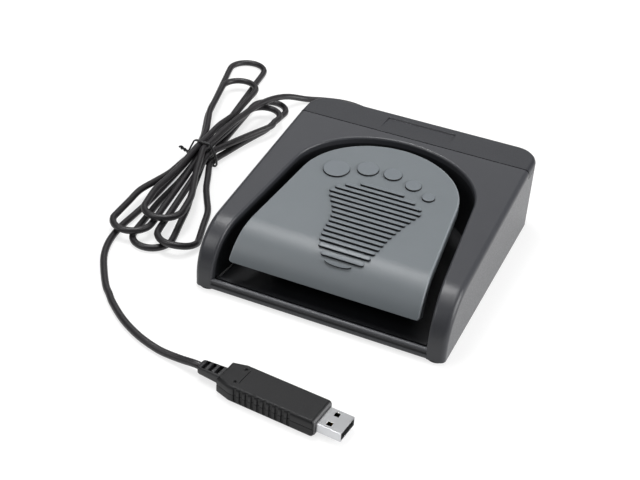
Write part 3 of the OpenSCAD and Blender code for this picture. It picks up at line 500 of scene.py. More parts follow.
def spaced(route: Sequence[Vector], longest: float) -> list[Vector]:
    """Splits long stretches of a route, and drops points that repeat.

    Args:
        route: Points in order.
        longest: Longest stretch that stays whole.

    Returns:
        The route with points added.
    """
    made = [Vector(route[0])]
    for p in route[1:]:
        gap = (p - made[-1]).length
        if gap < LEAST_STRETCH:
            continue
        parts = max(1, math.ceil(gap / longest))
        start = made[-1].copy()
        made += [start.lerp(p, (k + 1) / parts) for k in range(parts)]
    return made


def side_way(turn: float) -> Vector:
    """A direction in the side view: straight back, turned up by an angle in radians."""
    return Vector((0, math.cos(turn), math.sin(turn)))


def quarter_turn(steps: int) -> list[float]:
    """Angles of a quarter turn in even steps, in radians, both ends included."""
    return [QUARTER * i / steps for i in range(steps + 1)]


def square_to(way: Vector) -> Vector:
    """A direction square to another, level unless that one is nearly upright."""
    return way.cross(UP if abs(way.z) < 0.9 else BACKWARD).normalized()


def ring_round(at: Vector, across: Vector, other: Vector, radius: float, sides: int) -> list[Vector]:
    """One round ring of points about a place, in the plane of two directions."""
    turns = (2 * math.pi * k / sides for k in range(sides))
    return [at + radius * (math.cos(a) * across + math.sin(a) * other) for a in turns]


def tube_rings(path: Sequence[Vector], radius: float, sides: int) -> list[list[Vector]]:
    """Makes rings round a path without twist.

    Args:
        path: Points of the centre line.
        radius: Radius of the tube.
        sides: Points in a ring.

    Returns:
        One ring for each point.
    """
    rings = []
    across: Optional[Vector] = None
    for i, p in enumerate(path):
        along = (path[min(i + 1, len(path) - 1)] - path[max(i - 1, 0)]).normalized()
        if across is None:
            across = square_to(along)
        across = (across - along * across.dot(along)).normalized()
        rings.append(ring_round(p, across, along.cross(across), radius, sides))
    return rings


def turned(
    profile: Sequence[tuple[float, float]], at: Vector, axis: Vector, sides: int
) -> list[list[Vector]]:
    """Makes the rings of a round piece, as on a lathe.

    Args:
        profile: Pairs of place along the axis and radius.
        at: Where the axis starts.
        axis: Direction of the axis, of length 1.
        sides: Points in a ring.

    Returns:
        One ring for each pair.
    """
    across = square_to(axis)
    other = axis.cross(across)
    return [ring_round(at + axis * along, across, other, radius, sides) for along, radius in profile]


@dataclass(frozen=True)
class EdgePoint:
    """A place on an edge: the sharp point, the way onto the surface, and the surface's normal."""

    at: Vector
    onto: Vector
    up: Vector

    def fillet(self, radius: float, steps: int = 5) -> list[Vector]:
        """Makes the points of a rounding, from the surface to the wall below it.

        Args:
            radius: Radius of the rounding.
            steps: Steps between its points.

        Returns:
            The points in order.
        """
        return [
            self.at + self.onto * radius * (1 - math.sin(a)) - self.up * radius * (1 - math.cos(a))
            for a in quarter_turn(steps)]


@dataclass(frozen=True)
class CaseForm:
    """Sizes in millimetres that the housing, its cover and the pedal share, as in the solids."""

    width: float = 125.0
    depth: float = 136.0
    seam_h: float = 39.8
    slope: float = 5.5
    wall: float = 2.4
    shoulder_r: float = 24.0
    rear_corner_r: float = 12.0
    cover_d: float = 22.0
    cover_skirt: float = 4.5
    well_w: float = 93.0
    arch_rise: float = 36.4
    arch_margin: float = 4.4
    well_flare: float = 5.3
    fit_gap: float = 0.3
    foot_h: float = 1.3
    base_top: float = 5.0
    pedal_gap: float = 6.0
    arc_steps: int = 20
    corner_steps: int = 12

    @property
    def front(self) -> float:
        """Front of the housing along Y."""
        return -self.depth / 2

    @property
    def back(self) -> float:
        """Back of the housing along Y."""
        return self.depth / 2

    @property
    def seam(self) -> float:
        """Seam of the rear cover along Y."""
        return self.back - self.cover_d

    @property
    def well_apex(self) -> float:
        """Rearmost place of the well along Y."""
        return self.seam - self.arch_margin

    @property
    def skirt_z(self) -> float:
        """Lower edge of the rear cover."""
        return self.seam_h - self.cover_skirt

    @property
    def tilt(self) -> float:
        """Slope of the top in radians."""
        return math.radians(self.slope)

    def top_z(self, y: float) -> float:
        """Height of the sloping top at a place along Y."""
        return self.seam_h - (self.seam - y) * math.tan(self.tilt)

    def slope_up(self) -> Vector:
        """Normal of the sloping top."""
        return side_way(QUARTER + self.tilt)

    def round_centre(self, setback: float, r: float) -> tuple[float, float]:
        """Centre, along Y and Z, of a front that is set back and rounded into the sloping top."""
        y = self.front + setback + r
        return y, self.top_z(y) - r / math.cos(self.tilt)

    def rear_corner(self) -> list[tuple[Vector, Vector]]:
        """Plan of the right rear corner, from the side to the back.

        Returns:
            Places round the corner, each with the way in.
        """
        r = self.rear_corner_r
        middle = Vector((self.width / 2 - r, self.back - r, 0))
        made = []
        for a in quarter_turn(self.corner_steps):
            out = Vector((math.cos(a), math.sin(a), 0))
            made.append((middle + out * r, -out))
        return made


CASE = CaseForm()


@dataclass(frozen=True)
class Arch:
    """An outline on the sloping top: half an ellipse at the back, and sides that flare toward the front.

    Its sizes are the half width of the ellipse, its rearmost place along Y and the flare in degrees.
    """

    half: float
    apex: float
    flare: float

    @property
    def start(self) -> float:
        """Angle on the ellipse, in radians, where the sides run into it."""
        return math.atan(math.tan(math.radians(self.flare)) * CASE.arch_rise / self.half)

    def ellipse_y(self, turn: float) -> float:
        """Place along Y on the ellipse, at an angle in radians."""
        return self.apex - CASE.arch_rise + CASE.arch_rise * math.sin(turn)

    def half_at(self, y: float) -> float:
        """Half width between the flared sides at a place along Y."""
        ahead = self.ellipse_y(self.start) - y
        return self.half * math.cos(self.start) + ahead * math.tan(math.radians(self.flare))

    def edges(self, inward: bool) -> list[EdgePoint]:
        """Makes edge points round the ellipse, from the right side to the left.

        Args:
            inward: Whether the surface lies inside the arch.

        Returns:
            The edge points.
        """
        count, up = 2 * CASE.arc_steps, CASE.slope_up()
        made = []
        for i in range(count + 1):
            a = self.start + (math.pi - 2 * self.start) * i / count
            y = self.ellipse_y(a)
            out = Vector((math.cos(a) / self.half, math.sin(a) / CASE.arch_rise, 0)).normalized()
            onto = -out if inward else out
            onto = (onto - up * onto.dot(up)).normalized()
            made.append(EdgePoint(Vector((self.half * math.cos(a), y, CASE.top_z(y))), onto, up))
        return made


WELL = Arch(CASE.well_w / 2, CASE.well_apex, CASE.well_flare)


def mirrored(edge: EdgePoint) -> EdgePoint:
    """The same edge point on the other side of the middle."""
    return EdgePoint(edge.at * FLIP, edge.onto * FLIP, edge.up)


@dataclass
class Housing:
    """The wedge-shaped top housing with its two rails and arched well."""

    outer_r: float = 2.8
    inner_r: float = 1.3
    lip_h: float = 3.4
    lip_r: float = 0.45
    wall_shown: float = 1.8
    edge_w: float = 0.3
    bridge_h: float = 5.4
    bridge_r: float = 1.15
    wall_foot: float = 4.5
    # Most that an upright face's normal rises, for the painted shade on the well's walls, and least that the
    # bead's normals rise, for its painted highlight.
    steep: float = 0.1
    bead_tilt: float = 0.3
    bead_sides: int = 10
    lip_steps: int = 4
    round_steps: int = 6
    # Front of the sill: heights of its groove, which gets painted shade, and pairs of depth and height.
    sill_groove: tuple[float, float] = (2.5, 3.9)
    sill_face: tuple[tuple[float, float], ...] = (
        (0.45, 0), (0.12, 0.3), (0, 0.8), (0, 1.9), (0.1, 2.35), (0.38, 2.8), (0.55, 3.2), (0.5, 3.6),
        (0.2, 4.0))

    @property
    def shoulder(self) -> tuple[float, float]:
        """Centre of the round shoulder, along Y and Z."""
        return CASE.round_centre(0, CASE.shoulder_r)

    def profile(self) -> list[tuple[float, float, Vector]]:
        """Side view of a rail, from its foot up over the shoulder to the start of the arch.

        Returns:
            Place along Y, height and surface normal of each station.
        """
        cy, cz = self.shoulder
        made = [(CASE.front, CASE.foot_h, -BACKWARD)]
        for i in range(CASE.arc_steps + 1):
            up = side_way(math.pi - (QUARTER - CASE.tilt) * i / CASE.arc_steps)
            made.append((cy + CASE.shoulder_r * up.y, cz + CASE.shoulder_r * up.z, up))
        return made

    def build(self) -> None:
        """Builds the housing's skin, the strip that joins its rails and the pale beads along its well, whose
        colour is a painted highlight.
        """
        skin = Skin()
        stations = self.profile()
        rail_in = [EdgePoint(Vector((WELL.half_at(y), y, z)), RIGHT, up) for y, z, up in stations]
        rail_out = [EdgePoint(Vector((CASE.width / 2, y, z)), -RIGHT, up) for y, z, up in stations]
        seam = EdgePoint(Vector((CASE.width / 2, CASE.seam, CASE.seam_h)), -RIGHT, CASE.slope_up())
        rail_out.append(seam)
        arch = WELL.edges(inward=False)
        self.rail(skin, rail_in, rail_out, arch[0])
        self.rail(skin, [mirrored(e) for e in rail_in], [mirrored(e) for e in rail_out], arch[-1])
        self.panel(skin, rail_in[-1], seam, arch)
        self.rear_band(skin)
        # The well's walls below the lip get the tray's black as painted shade.
        shell = line_with(skin.make("housing_shell", HOUSING_ABS), TRAY_BLACK_AND_PAINTED_SHADE, self.in_well_shade)
        thicken(shell, self.wall_shown)
        flatten_shading(soften(shell, self.edge_w))
        settle(shell, Body.BASE, Slot.HOUSING, "top_housing")
        self.bridge()
        self.lips()

    def in_well_shade(self, at: Vector, normal: Vector) -> bool:
        """Whether a face is an upright wall of the well below its lip, which gets painted shade.

        Args:
            at: Centre of the face.
            normal: Its normal.

        Returns:
            True for a wall below the lip.
        """
        cy, cz = self.shoulder
        below = CASE.top_z(at.y) - at.z
        if at.y < cy:
            below = CASE.shoulder_r - math.hypot(at.y - cy, max(at.z - cz, 0.0))
        inward = normal.x * at.x + normal.y * at.y < 0
        return below > self.lip_h and abs(normal.z) < self.steep and inward

    def lips(self) -> None:
        """Builds the thin beads along the foot of the well's sides, whose pale colour paints a line of
        highlight.
        """
        skin = Skin()
        for s in (-1, 1):
            line = []
            for i in range(self.lip_steps + 1):
                y = CASE.front + CASE.wall + i / self.lip_steps * CASE.depth / 3
                x = WELL.half_at(y) - self.lip_r
                line.append(Vector((s * x, y, CASE.base_top + self.lip_r)))
            skin.tube(line, self.lip_r, self.bead_sides)
        # The beads' pale colour is a painted highlight line.
        settle(skin.make("well_lip_highlights", PALE_PAINTED_HIGHLIGHT, TUBE_DEG), Body.BASE, Slot.HOUSING)

    def rail(self, skin: Skin, inner: list[EdgePoint], outer: list[EdgePoint], arch: EdgePoint) -> None:
        """Adds one rail: its rounded edges, its front and shoulder, and both its walls.

        Args:
            skin: The skin to add to.
            inner: Edge points along the well.
            outer: Edge points along the outside, up to the seam.
            arch: First edge point of the arch on this side.
        """
        run = [*inner, arch]
        inside = [e.fillet(self.inner_r) for e in run]
        outside = [e.fillet(self.outer_r) for e in outer]
        skin.rows(inside)
        skin.rows(outside)
        for a, b, c, d in zip(inside, inside[1:-1], outside, outside[1:]):
            skin.face([a[0], b[0], d[0], c[0]])
        wall = [e.at - e.up * self.lip_h for e in run]
        skin.rows([[f[-1], low] for f, low in zip(inside, wall)])
        skin.face(wall + [Vector((wall[-1].x, wall[-1].y, self.wall_foot))])
        edge = [f[-1] for f in outside]
        x = edge[0].x
        low = CASE.skirt_z - CASE.fit_gap
        turn = CASE.back - CASE.rear_corner_r
        skin.face(edge + [
            Vector((x, CASE.seam, low)), Vector((x, turn, low)), Vector((x, turn, CASE.foot_h))])

    def panel(self, skin: Skin, rail: EdgePoint, seam: EdgePoint, arch: list[EdgePoint]) -> None:
        """Adds the flat U of the top and the arched wall of the well.

        Args:
            skin: The skin to add to.
            rail: Last edge point on the shoulder of the right rail, on the well's side.
            seam: Edge point at the right end of the seam.
            arch: Edge points of the arch from right to left.
        """
        shoulder = Vector((CASE.width / 2 - self.outer_r, rail.at.y, rail.at.z))
        first, *rounded = [e.fillet(self.inner_r) for e in (rail, *arch)]
        inside = [first[0], *(f[0] for f in rounded), first[0] * FLIP]
        corner = seam.fillet(self.outer_r)[0]
        skin.face(inside + [shoulder * FLIP, corner * FLIP, corner, shoulder])
        skin.rows(rounded)
        lows = [e.at - e.up * self.lip_h for e in arch]
        skin.rows([[f[-1] for f in rounded], lows, [Vector((p.x, p.y, self.wall_foot)) for p in lows]])

    def rear_band(self, skin: Skin) -> None:
        """Adds the rear wall below the cover, with its two round corners.

        Args:
            skin: The skin to add to.
        """
        top, low = CASE.skirt_z - CASE.fit_gap, CASE.foot_h
        plan = [p for p, _ in CASE.rear_corner()]
        for corner in (plan, [p * FLIP for p in plan]):
            skin.rows([[p + UP * z for p in corner] for z in (low, top)])
        x = plan[-1].x
        skin.face([Vector((s * x, CASE.back, z)) for s, z in ((1, low), (-1, low), (-1, top), (1, top))])

    def bridge(self) -> None:
        """Builds the low strip that joins the rails at the front, with a painted highlight on the top of its
        bead and painted shade in its groove.
        """
        reach = WELL.half_at(CASE.front) + self.inner_r
        y0, y1 = CASE.front, CASE.front + CASE.wall
        z0, z1, r = CASE.foot_h, CASE.foot_h + self.bridge_h, self.bridge_r
        ring = [(y0 + depth, z0 + rise) for depth, rise in self.sill_face]
        for y, first in ((y0 + r, math.pi), (y1 - r, QUARTER)):
            for a in quarter_turn(self.round_steps):
                ring.append((y + r * math.cos(first - a), z1 - r + r * math.sin(first - a)))
        ring.append((y1, z0))
        skin = Skin()
        skin.loft([[Vector((x, y, z)) for y, z in ring] for x in (-reach, 0, reach)])
        bridge = skin.make("housing_bridge", HOUSING_ABS)
        low, high = (z0 + rise for rise in self.sill_groove)
        # Painted highlight: the upward faces of the bead get a paler finish.
        line_with(bridge, BEAD_PAINTED_HIGHLIGHT, lambda at, normal: normal.z > self.bead_tilt and at.z > z1 - r)
        # Painted shade: the front faces of the sill's groove get the tray's black.
        line_with(bridge, TRAY_BLACK_AND_PAINTED_SHADE, lambda at, normal: normal.y < 0 and low < at.z < high)
        settle(flatten_shading(bridge), Body.BASE, Slot.HOUSING)


@dataclass
class RearCover:
    """The cover over the rear bay, which slides back and has a shallow thumb recess."""

    edge_r: float = 2.6
    wall_shown: float = 1.7
    edge_w: float = 0.35
    lip_gap: float = 0.4
    recess_half: float = 18.5
    recess_front: float = 50.0
    recess_back: float = 62.0
    recess_drop: float = 0.8
    recess_lean: float = 0.5
    soft_deg: float = 30.0

    def build(self) -> None:
        """Builds the cover's skin."""
        skin = Skin()
        front = CASE.seam + CASE.fit_gap + self.lip_gap
        right = [(Vector((CASE.width / 2, front, 0)), -RIGHT), *CASE.rear_corner()]
        right.append((Vector((self.recess_half, CASE.back, 0)), -BACKWARD))
        plan = right + [(p * FLIP, n * FLIP) for p, n in reversed(right)]
        columns = [EdgePoint(p + UP * CASE.seam_h, n, UP).fillet(self.edge_r) for p, n in plan]
        columns = [c + [Vector((c[-1].x, c[-1].y, CASE.skirt_z))] for c in columns]
        skin.rows(columns)
        self.top(skin, [c[0] for c in columns[: len(right)]], front)
        lid = skin.make("rear_cover_shell", COVER_ABS)
        thicken(lid, self.wall_shown, even=False)
        flatten_shading(soften(lid, self.edge_w, self.soft_deg))
        settle(lid, Body.COVER, Slot.COVER, "rear_cover")

    def top(self, skin: Skin, rim: list[Vector], front: float) -> None:
        """Adds the flat top round the thumb recess, and the recess.

        Args:
            skin: The skin to add to.
            rim: Right half of the rim, from the seam to the edge of the recess at the back.
            front: Front edge of the cover along Y.
        """
        half, top = self.recess_half, CASE.seam_h
        deep = self.recess_back - self.recess_lean

        def pair(y: float, z: float) -> tuple[Vector, Vector]:
            """The same place on the right and the left edge of the recess."""
            return Vector((half, y, z)), Vector((-half, y, z))

        edge, start, end = pair(front, top), pair(self.recess_front, top), pair(self.recess_back, top)
        low, rear = pair(deep, top - self.recess_drop), pair(rim[-1].y, top)
        skin.face(rim + [end[0], start[0], edge[0]])
        skin.face([p * FLIP for p in rim] + [end[1], start[1], edge[1]])
        skin.face([edge[0], start[0], start[1], edge[1]])
        skin.face([end[0], rear[0], rear[1], end[1]])
        skin.face([start[0], low[0], low[1], start[1]])
        skin.face([low[0], end[0], end[1], low[1]])
        for k in (0, 1):
            skin.face([start[k], end[k], low[k]])


@dataclass
class Pedal:
    """The pedal plate with its rounded front, its skirt and the raised footprint."""

    edge_r: float = 0.8
    edge_w: float = 0.35
    skirt: float = 6.0
    wall_shown: float = 2.0
    flare: float = 6.0
    nose_r: float = 25.0
    nose_h: float = 17.0
    nose_setback: float = 2.0
    nose_steps: int = 18
    corner_r: float = 1.4
    # Points of the rounded front corners, in shares of their radius.
    corner_shares: tuple[float, ...] = (0, 0.04, 0.15, 0.32, 0.6, 1)
    # How far faces look the way of the top: those of the rim, which get a painted highlight, and at most the
    # upright ones of the relief, which get painted shade.
    rim_lift: tuple[float, float] = (0.3, 0.99)
    wall_lift: float = 0.5
    bar_count: int = 16
    bar_pitch: float = 3.5
    bar_w: float = 2.2
    bar_y0: float = 0.4
    # A bar's ends, in shares of half its width, and its section in shares of width and height.
    bar_ends: tuple[float, ...] = (0.02, 0.2, 0.5, 1.0)
    bar_end_h: float = 0.6
    bar_section: tuple[tuple[float, float], ...] = (
        (-1, -0.5), (-1, 0.74), (-0.91, 0.93), (-0.72, 1), (0.72, 1), (0.91, 0.93), (1, 0.74), (1, -0.5))
    relief_h: float = 1.2
    # The heel's place along X, width and length, and its rim: shares of the height, and insets.
    heel: tuple[float, float, float] = (3.8, 13.2, 1.7)
    heel_steps: int = 24
    heel_rim: tuple[tuple[float, float], ...] = ((-0.5, 0.0), (0.72, 0.0), (0.92, 0.12), (1.0, 0.3))
    toe_h: float = 1.0
    toe_r: float = 6.7
    toe_root: float = -0.4
    toe_middle: float = 0.5
    toe_sides: int = 48
    # Rim of a toe: drops below its top, and insets from its edge.
    toe_rim: tuple[tuple[float, float], ...] = (
        (0.42, 0), (0.16, 0.1), (0.02, 0.38), (0, 0.62), (0.06, 0.9))
    # Edges of the sole: pairs of places along Y and X.
    sole_left: tuple[tuple[float, float], ...] = (
        (-57, -1), (-53, -5), (-49, -8.5), (-45, -10), (-38, -11), (-30, -11.5), (-24, -13), (-20, -15),
        (-16, -17.5), (-13, -19.5), (-10, -20.5), (-6.5, -19), (-3, -15), (0.5, -8.5))
    sole_right: tuple[tuple[float, float], ...] = (
        (-57, 11), (-53, 15), (-49, 17), (-42, 18.5), (-34, 19.5), (-27, 21), (-20, 23), (-13, 25.5),
        (-10, 26.5), (-6.5, 25.5), (-3, 21), (0.5, 14))
    # Toes: places along X and Y, and shares of the largest radius.
    toes: tuple[tuple[float, float, float], ...] = (
        (-24.2, 6.7, 1), (-10, 12.9, 0.82), (2.8, 13.9, 0.7), (15.1, 9.8, 0.61), (24.9, 4.2, 0.48))

    @property
    def nose_centre(self) -> tuple[float, float]:
        """Centre of the rounded front, along Y and Z."""
        return CASE.round_centre(self.nose_setback, self.nose_r)

    def surface(self, y: float) -> tuple[float, float]:
        """Finds the pedal's top at a place along Y.

        Args:
            y: The place.

        Returns:
            The height there, and the tilt in radians.
        """
        cy, cz = self.nose_centre
        if y > cy - self.nose_r * math.sin(CASE.tilt):
            return CASE.top_z(y), CASE.tilt
        tilt = math.acos((y - cy) / self.nose_r) - QUARTER
        return cz + math.sqrt(self.nose_r**2 - (y - cy) ** 2), tilt

    def build(self) -> None:
        """Builds the plate and the footprint on it."""
        skin = Skin()
        outline = Arch(WELL.half - CASE.pedal_gap, WELL.apex - CASE.pedal_gap, self.flare)
        cy, cz = self.nose_centre
        last = math.pi - math.asin((self.nose_h - cz) / self.nose_r)
        first = QUARTER + CASE.tilt
        nose = []
        turns = [last - self.corner_r / self.nose_r * share for share in self.corner_shares]
        start = turns[-1]
        turns += [start + (first - start) * (i + 1) / self.nose_steps for i in range(self.nose_steps)]
        for a in turns:
            up = side_way(a)
            y, z = cy + self.nose_r * up.y, cz + self.nose_r * up.z
            short = max(0.0, self.corner_r - (last - a) * self.nose_r)
            x = outline.half_at(y) - self.corner_r + math.sqrt(self.corner_r**2 - short**2)
            nose.append(EdgePoint(Vector((x, y, z)), -RIGHT, up))
        path = nose + outline.edges(inward=True) + [mirrored(e) for e in reversed(nose)]
        columns = [e.fillet(self.edge_r) + [e.at - e.up * self.skirt] for e in path]
        skin.rows(columns)
        tops = [c[0] for c in columns]
        for i in range(len(nose) - 1):
            skin.face([tops[i], tops[i + 1], tops[-2 - i], tops[-1 - i]])
        skin.face(tops[len(nose) - 1 : len(tops) - len(nose) + 1])
        # The rounded rim gets a paler finish as a painted highlight.
        plate = line_with(skin.make("pedal_shell", PEDAL_ABS), RIM_PAINTED_HIGHLIGHT, self.gets_rim_highlight)
        thicken(plate, self.wall_shown)
        flatten_shading(soften(plate, self.edge_w))
        settle(plate, Body.PEDAL, Slot.PEDAL, "pedal_plate")
        self.footprint()

    @staticmethod
    def between(table: Sequence[tuple[float, float]], y: float) -> float:
        """Reads a value from a table, straight between its rows.

        Args:
            table: Pairs of place along Y and value.
            y: The place to read at.

        Returns:
            The value there.
        """
        for (y0, v0), (y1, v1) in zip(table, table[1:]):
            if y <= y1:
                return v0 + (v1 - v0) * max(0.0, (y - y0) / (y1 - y0))
        return table[-1][1]

    def footprint(self) -> None:
        """Builds the grip bars of the sole, its heel and the five toes as one piece."""
        skin = Skin()
        for i in range(self.bar_count):
            y = self.bar_y0 - i * self.bar_pitch
            self.bar(skin, y, self.between(self.sole_left, y), self.between(self.sole_right, y))
        self.heel_end(skin)
        for x, y, share in self.toes:
            r = share * self.toe_r
            rim = [(self.toe_h - drop, r - inset) for drop, inset in self.toe_rim]
            profile = [(self.toe_root, r), *rim, (rim[-1][0], r * self.toe_middle)]
            skin.loft(turned(profile, Vector((x, y, CASE.top_z(y))), CASE.slope_up(), self.toe_sides))
        # The upright walls of the bars, the heel and the toes get painted shade.
        relief = line_with(skin.make("foot_relief", RELIEF_ABS, TUBE_DEG), RELIEF_PAINTED_SHADE, self.gets_relief_shade)
        settle(flatten_shading(relief), Body.PEDAL, Slot.PEDAL)

    def lift(self, at: Vector, normal: Vector) -> float:
        """How far a face looks the way of the pedal's top below it: 1 is flat, 0 is upright."""
        tilt = self.surface(at.y)[1]
        return normal.z * math.cos(tilt) - normal.y * math.sin(tilt)

    def gets_relief_shade(self, at: Vector, normal: Vector) -> bool:
        """Whether a face of the relief stands up from the pedal's top, and so gets painted shade."""
        return self.lift(at, normal) < self.wall_lift

    def gets_rim_highlight(self, at: Vector, normal: Vector) -> bool:
        """Whether a face belongs to the rounded rim of the plate, which gets a painted highlight."""
        return self.rim_lift[0] < self.lift(at, normal) < self.rim_lift[1]

    def heel_end(self, skin: Skin) -> None:
        """Adds the rounded end of the sole in front of the last bar.

        Args:
            skin: The skin to add to.
        """
        x, width, length = self.heel
        y = self.bar_y0 - self.bar_count * self.bar_pitch + self.bar_w / 2
        z = self.surface(y)[0]
        tilt = self.surface(y - self.bar_w / 2)[1]
        along, up = side_way(tilt), side_way(QUARTER + tilt)
        turns = [math.pi * (1 + i / self.heel_steps) for i in range(self.heel_steps + 1)]
        plan = [(width / 2 * math.cos(a), length * math.sin(a)) for a in turns]
        rings = []
        for height, inset in self.heel_rim:
            share = 1 - 2 * inset / width
            rings.append([
                Vector((x + px * share, y, z)) + along * (py * (1 - inset / length) - inset / 2)
                + up * (height * self.relief_h) for px, py in plan])
        skin.loft(rings)

    def bar(self, skin: Skin, y: float, x0: float, x1: float) -> None:
        """Adds one grip bar with a rounded top and round ends.

        Args:
            skin: The skin to add to.
            y: Place of the bar along Y.
            x0: Left end.
            x1: Right end.
        """
        z, tilt = self.surface(y)
        along, up = side_way(tilt), side_way(QUARTER + tilt)
        half = self.bar_w / 2
        marks = [(x0 + d * half, d) for d in self.bar_ends]
        marks += [(x1 - d * half, d) for d in reversed(self.bar_ends)]
        rings = []
        for x, d in marks:
            thin = math.sqrt(1 - (1 - d) ** 2)
            low = self.bar_end_h + (1 - self.bar_end_h) * thin
            ring = []
            for w, h in self.bar_section:
                rise = h * self.relief_h * (low if h > 0 else 1)
                ring.append(Vector((x, y, z)) + along * (w * half * thin) + up * rise)
            rings.append(ring)
        skin.loft(rings)


@dataclass(frozen=True)
class Fold:
    """One fold of the hank: its centre, radius and levels, the strand's side, and how far its legs bow."""

    x: float
    y: float
    radius: float
    level_in: int
    level_out: int
    side: int
    bow_in: float
    bow_out: float


@dataclass
class Cord:
    """The cord from the grommet through the tied hank to the plug, on one smooth line."""

    diameter: float = 3.5
    length: float = 1.84
    waist: Vector = field(default_factory=lambda: Vector((-112, 31, 0)))
    step: float = 4.1
    run_in: float = 22.0
    arc_steps: int = 7
    flow_steps: int = 4
    round_steps: int = 5
    longest: float = 14.0
    tie_t: float = 0.8
    tie_w: float = 1.6
    tie_gap: float = 0.3
    tie_slack: float = 0.4
    tie_knee: float = 0.8
    tie_round: float = 1.6
    tie_steps: int = 5
    # The tie's ends, twisted together, which open a little beyond their tight stretch.
    twist_way: tuple[float, float, float] = (-0.94, 0.05, 0.34)
    twist_r: float = 0.5
    twist_turns: float = 1.5
    twist_steps: int = 18
    twist_step: float = 0.33
    twist_tight: int = 12
    twist_open: float = 0.06
    twist_sides: int = 8
    join_gap: float = 0.1
    grommet: Vector = field(default_factory=lambda: Vector((-32, 82, 11)))
    plug_at: Vector = field(default_factory=lambda: Vector((29.9, -127.2, 0)))
    plug_yaw: float = -5.4
    plug_reach: float = 60.0
    plug_mid: float = 4.2
    # Strands at the waist: columns from its middle, and levels from the floor.
    strands: tuple[tuple[float, int], ...] = (
        (0.5, 2), (-0.5, 2), (-1, 1), (0, 1), (1, 1), (1.5, 0), (0.5, 0), (-0.5, 0), (-1.5, 0))
    folds: tuple[Fold, ...] = (
        Fold(-101, -29, 10, 2, 2, 1, 1.5, 1.5), Fold(-129, 107, 10, 1, 1, 1, 0, 2),
        Fold(-112, -41, 10, 1, 1, -1, 3, 0), Fold(-102.4, 85, 9.6, 1, 1, -1, 0, 2),
        Fold(-86.5, -41, 10, 1, 0, -1, 0, 2.5), Fold(-105.4, 99, 10, 0, 0, 1, 2, 0),
        Fold(-99, -44, 10, 0, 0, 1, 1, 1), Fold(-138.8, 137, 10.5, 0, 0, 1, 0, 2))

    @property
    def lie(self) -> float:
        """Height of the centre line where the cord lies on the floor."""
        return self.diameter / 2

    @property
    def low(self) -> float:
        """Height of the lowest strands at the waist, above the tie."""
        return self.lie + self.tie_t + self.tie_gap

    def level_z(self, level: float) -> float:
        """Lying height of a level of the hank."""
        return self.lie + self.step * level

    def waist_pt(self, k: int) -> Vector:
        """Place of strand k at the waist."""
        column, level = self.strands[k]
        return Vector((self.waist.x + self.step * column, self.waist.y, self.low + self.step * level))

    def run_pt(self, start: Vector, end: Vector, far: float, level: float) -> Vector:
        """A place on the way from the waist to a fold, at a level's lying height."""
        way = Vector((end.x - start.x, end.y - start.y, 0)).normalized()
        return Vector((start.x + way.x * far, start.y + way.y * far, self.level_z(level)))

    def half_turn(self, k: int) -> list[Vector]:
        """Points of half turn k, from the waist round its fold and back.

        Args:
            k: Number of the half turn. Even ones fold at the lower end, odd ones at the upper end.

        Returns:
            The points in order.
        """
        fold = self.folds[k]
        away = Vector((fold.x - self.waist.x, fold.y - self.waist.y, 0))
        out = away.normalized()
        over = math.asin(fold.radius / away.length)
        start = fold.side * (Vector((-out.y, out.x, 0)) if out.y < 0 else Vector((out.y, -out.x, 0)))
        straight = Vector((0, -self.diameter if k % 2 == 0 else self.diameter, 0))
        leave, come = self.waist_pt(k) + straight, self.waist_pt(k + 1) + straight
        bend = []
        for i in range(self.arc_steps + 1):
            a = i * (math.pi + 2 * over) / self.arc_steps - over
            part = max(0.0, 2 * i / self.arc_steps - 1)
            z = self.level_z(fold.level_in + (fold.level_out - fold.level_in) * part)
            bend.append(Vector((fold.x, fold.y, z)) + fold.radius * (math.cos(a) * start + math.sin(a) * out))
        near, far = self.run_in, 2 * self.run_in
        return [
            self.waist_pt(k), leave, self.run_pt(leave, bend[0], near, self.strands[k][1]),
            self.run_pt(leave, bend[0], far, fold.level_in) + start * fold.bow_in, *bend,
            self.run_pt(come, bend[-1], far, fold.level_out) - start * fold.bow_out,
            self.run_pt(come, bend[-1], near, self.strands[k + 1][1]), come]

    def plug_pt(self, along: float, z: float) -> Vector:
        """A point on the plug's axis, from the place where the metal shell leaves the case."""
        a = math.radians(self.plug_yaw)
        return Vector((self.plug_at.x + along * math.cos(a), self.plug_at.y + along * math.sin(a), z))

    def route(self) -> list[Vector]:
        """Lays the whole centre line, from the grommet to the strain relief of the plug.

        Returns:
            Points along it.
        """
        lie, d, gap = self.lie, self.diameter, self.join_gap
        gx, gy, gz = self.grommet
        first, last = self.waist_pt(0), self.waist_pt(len(self.folds))
        lead_in = [
            (gx, gy + gap, gz), (gx, gy + d, gz), (-32.5, 96, 9.5), (-35, 107, 6.5), (-42, 118, 3.5),
            (-54, 126.5, 2), (-67, 129.5, lie), (-80, 127, lie), (-91, 121, 2.6), (-98.5, 112.5, 6.2),
            (-102.5, 102.5, 9), (-105.5, 91, 10.6), (-107.7, 78, 10.9), (-109.3, 64, first.z),
            (first.x, 50, first.z), (first.x, first.y + d, first.z)]
        lead_out = [
            (last.x, last.y, last.z), (last.x, last.y - d, last.z), (-118, 18, 2.2), (-117.6, 6, lie),
            (-117, -7, lie), (-116.7, -20, lie), (-117, -33, lie), (-117.3, -45, lie), (-115.8, -57, lie),
            (-112, -68, lie), (-106, -78, lie), (-98, -89, lie), (-88, -99, lie), (-77, -107.5, lie),
            (-65, -114, lie), (-53, -118, lie), (-42, -119.8, 2.6)]
        hank = [p for k in range(len(self.folds)) for p in self.half_turn(k)]
        points = [Vector(p) for p in lead_in] + hank + [Vector(p) for p in lead_out]
        points += [self.plug_pt(-self.plug_reach - r, self.plug_mid) for r in (d, gap)]
        line = flowing(spaced(points, self.longest), self.flow_steps)
        return [Vector((p.x, p.y, max(p.z, lie))) for p in line]

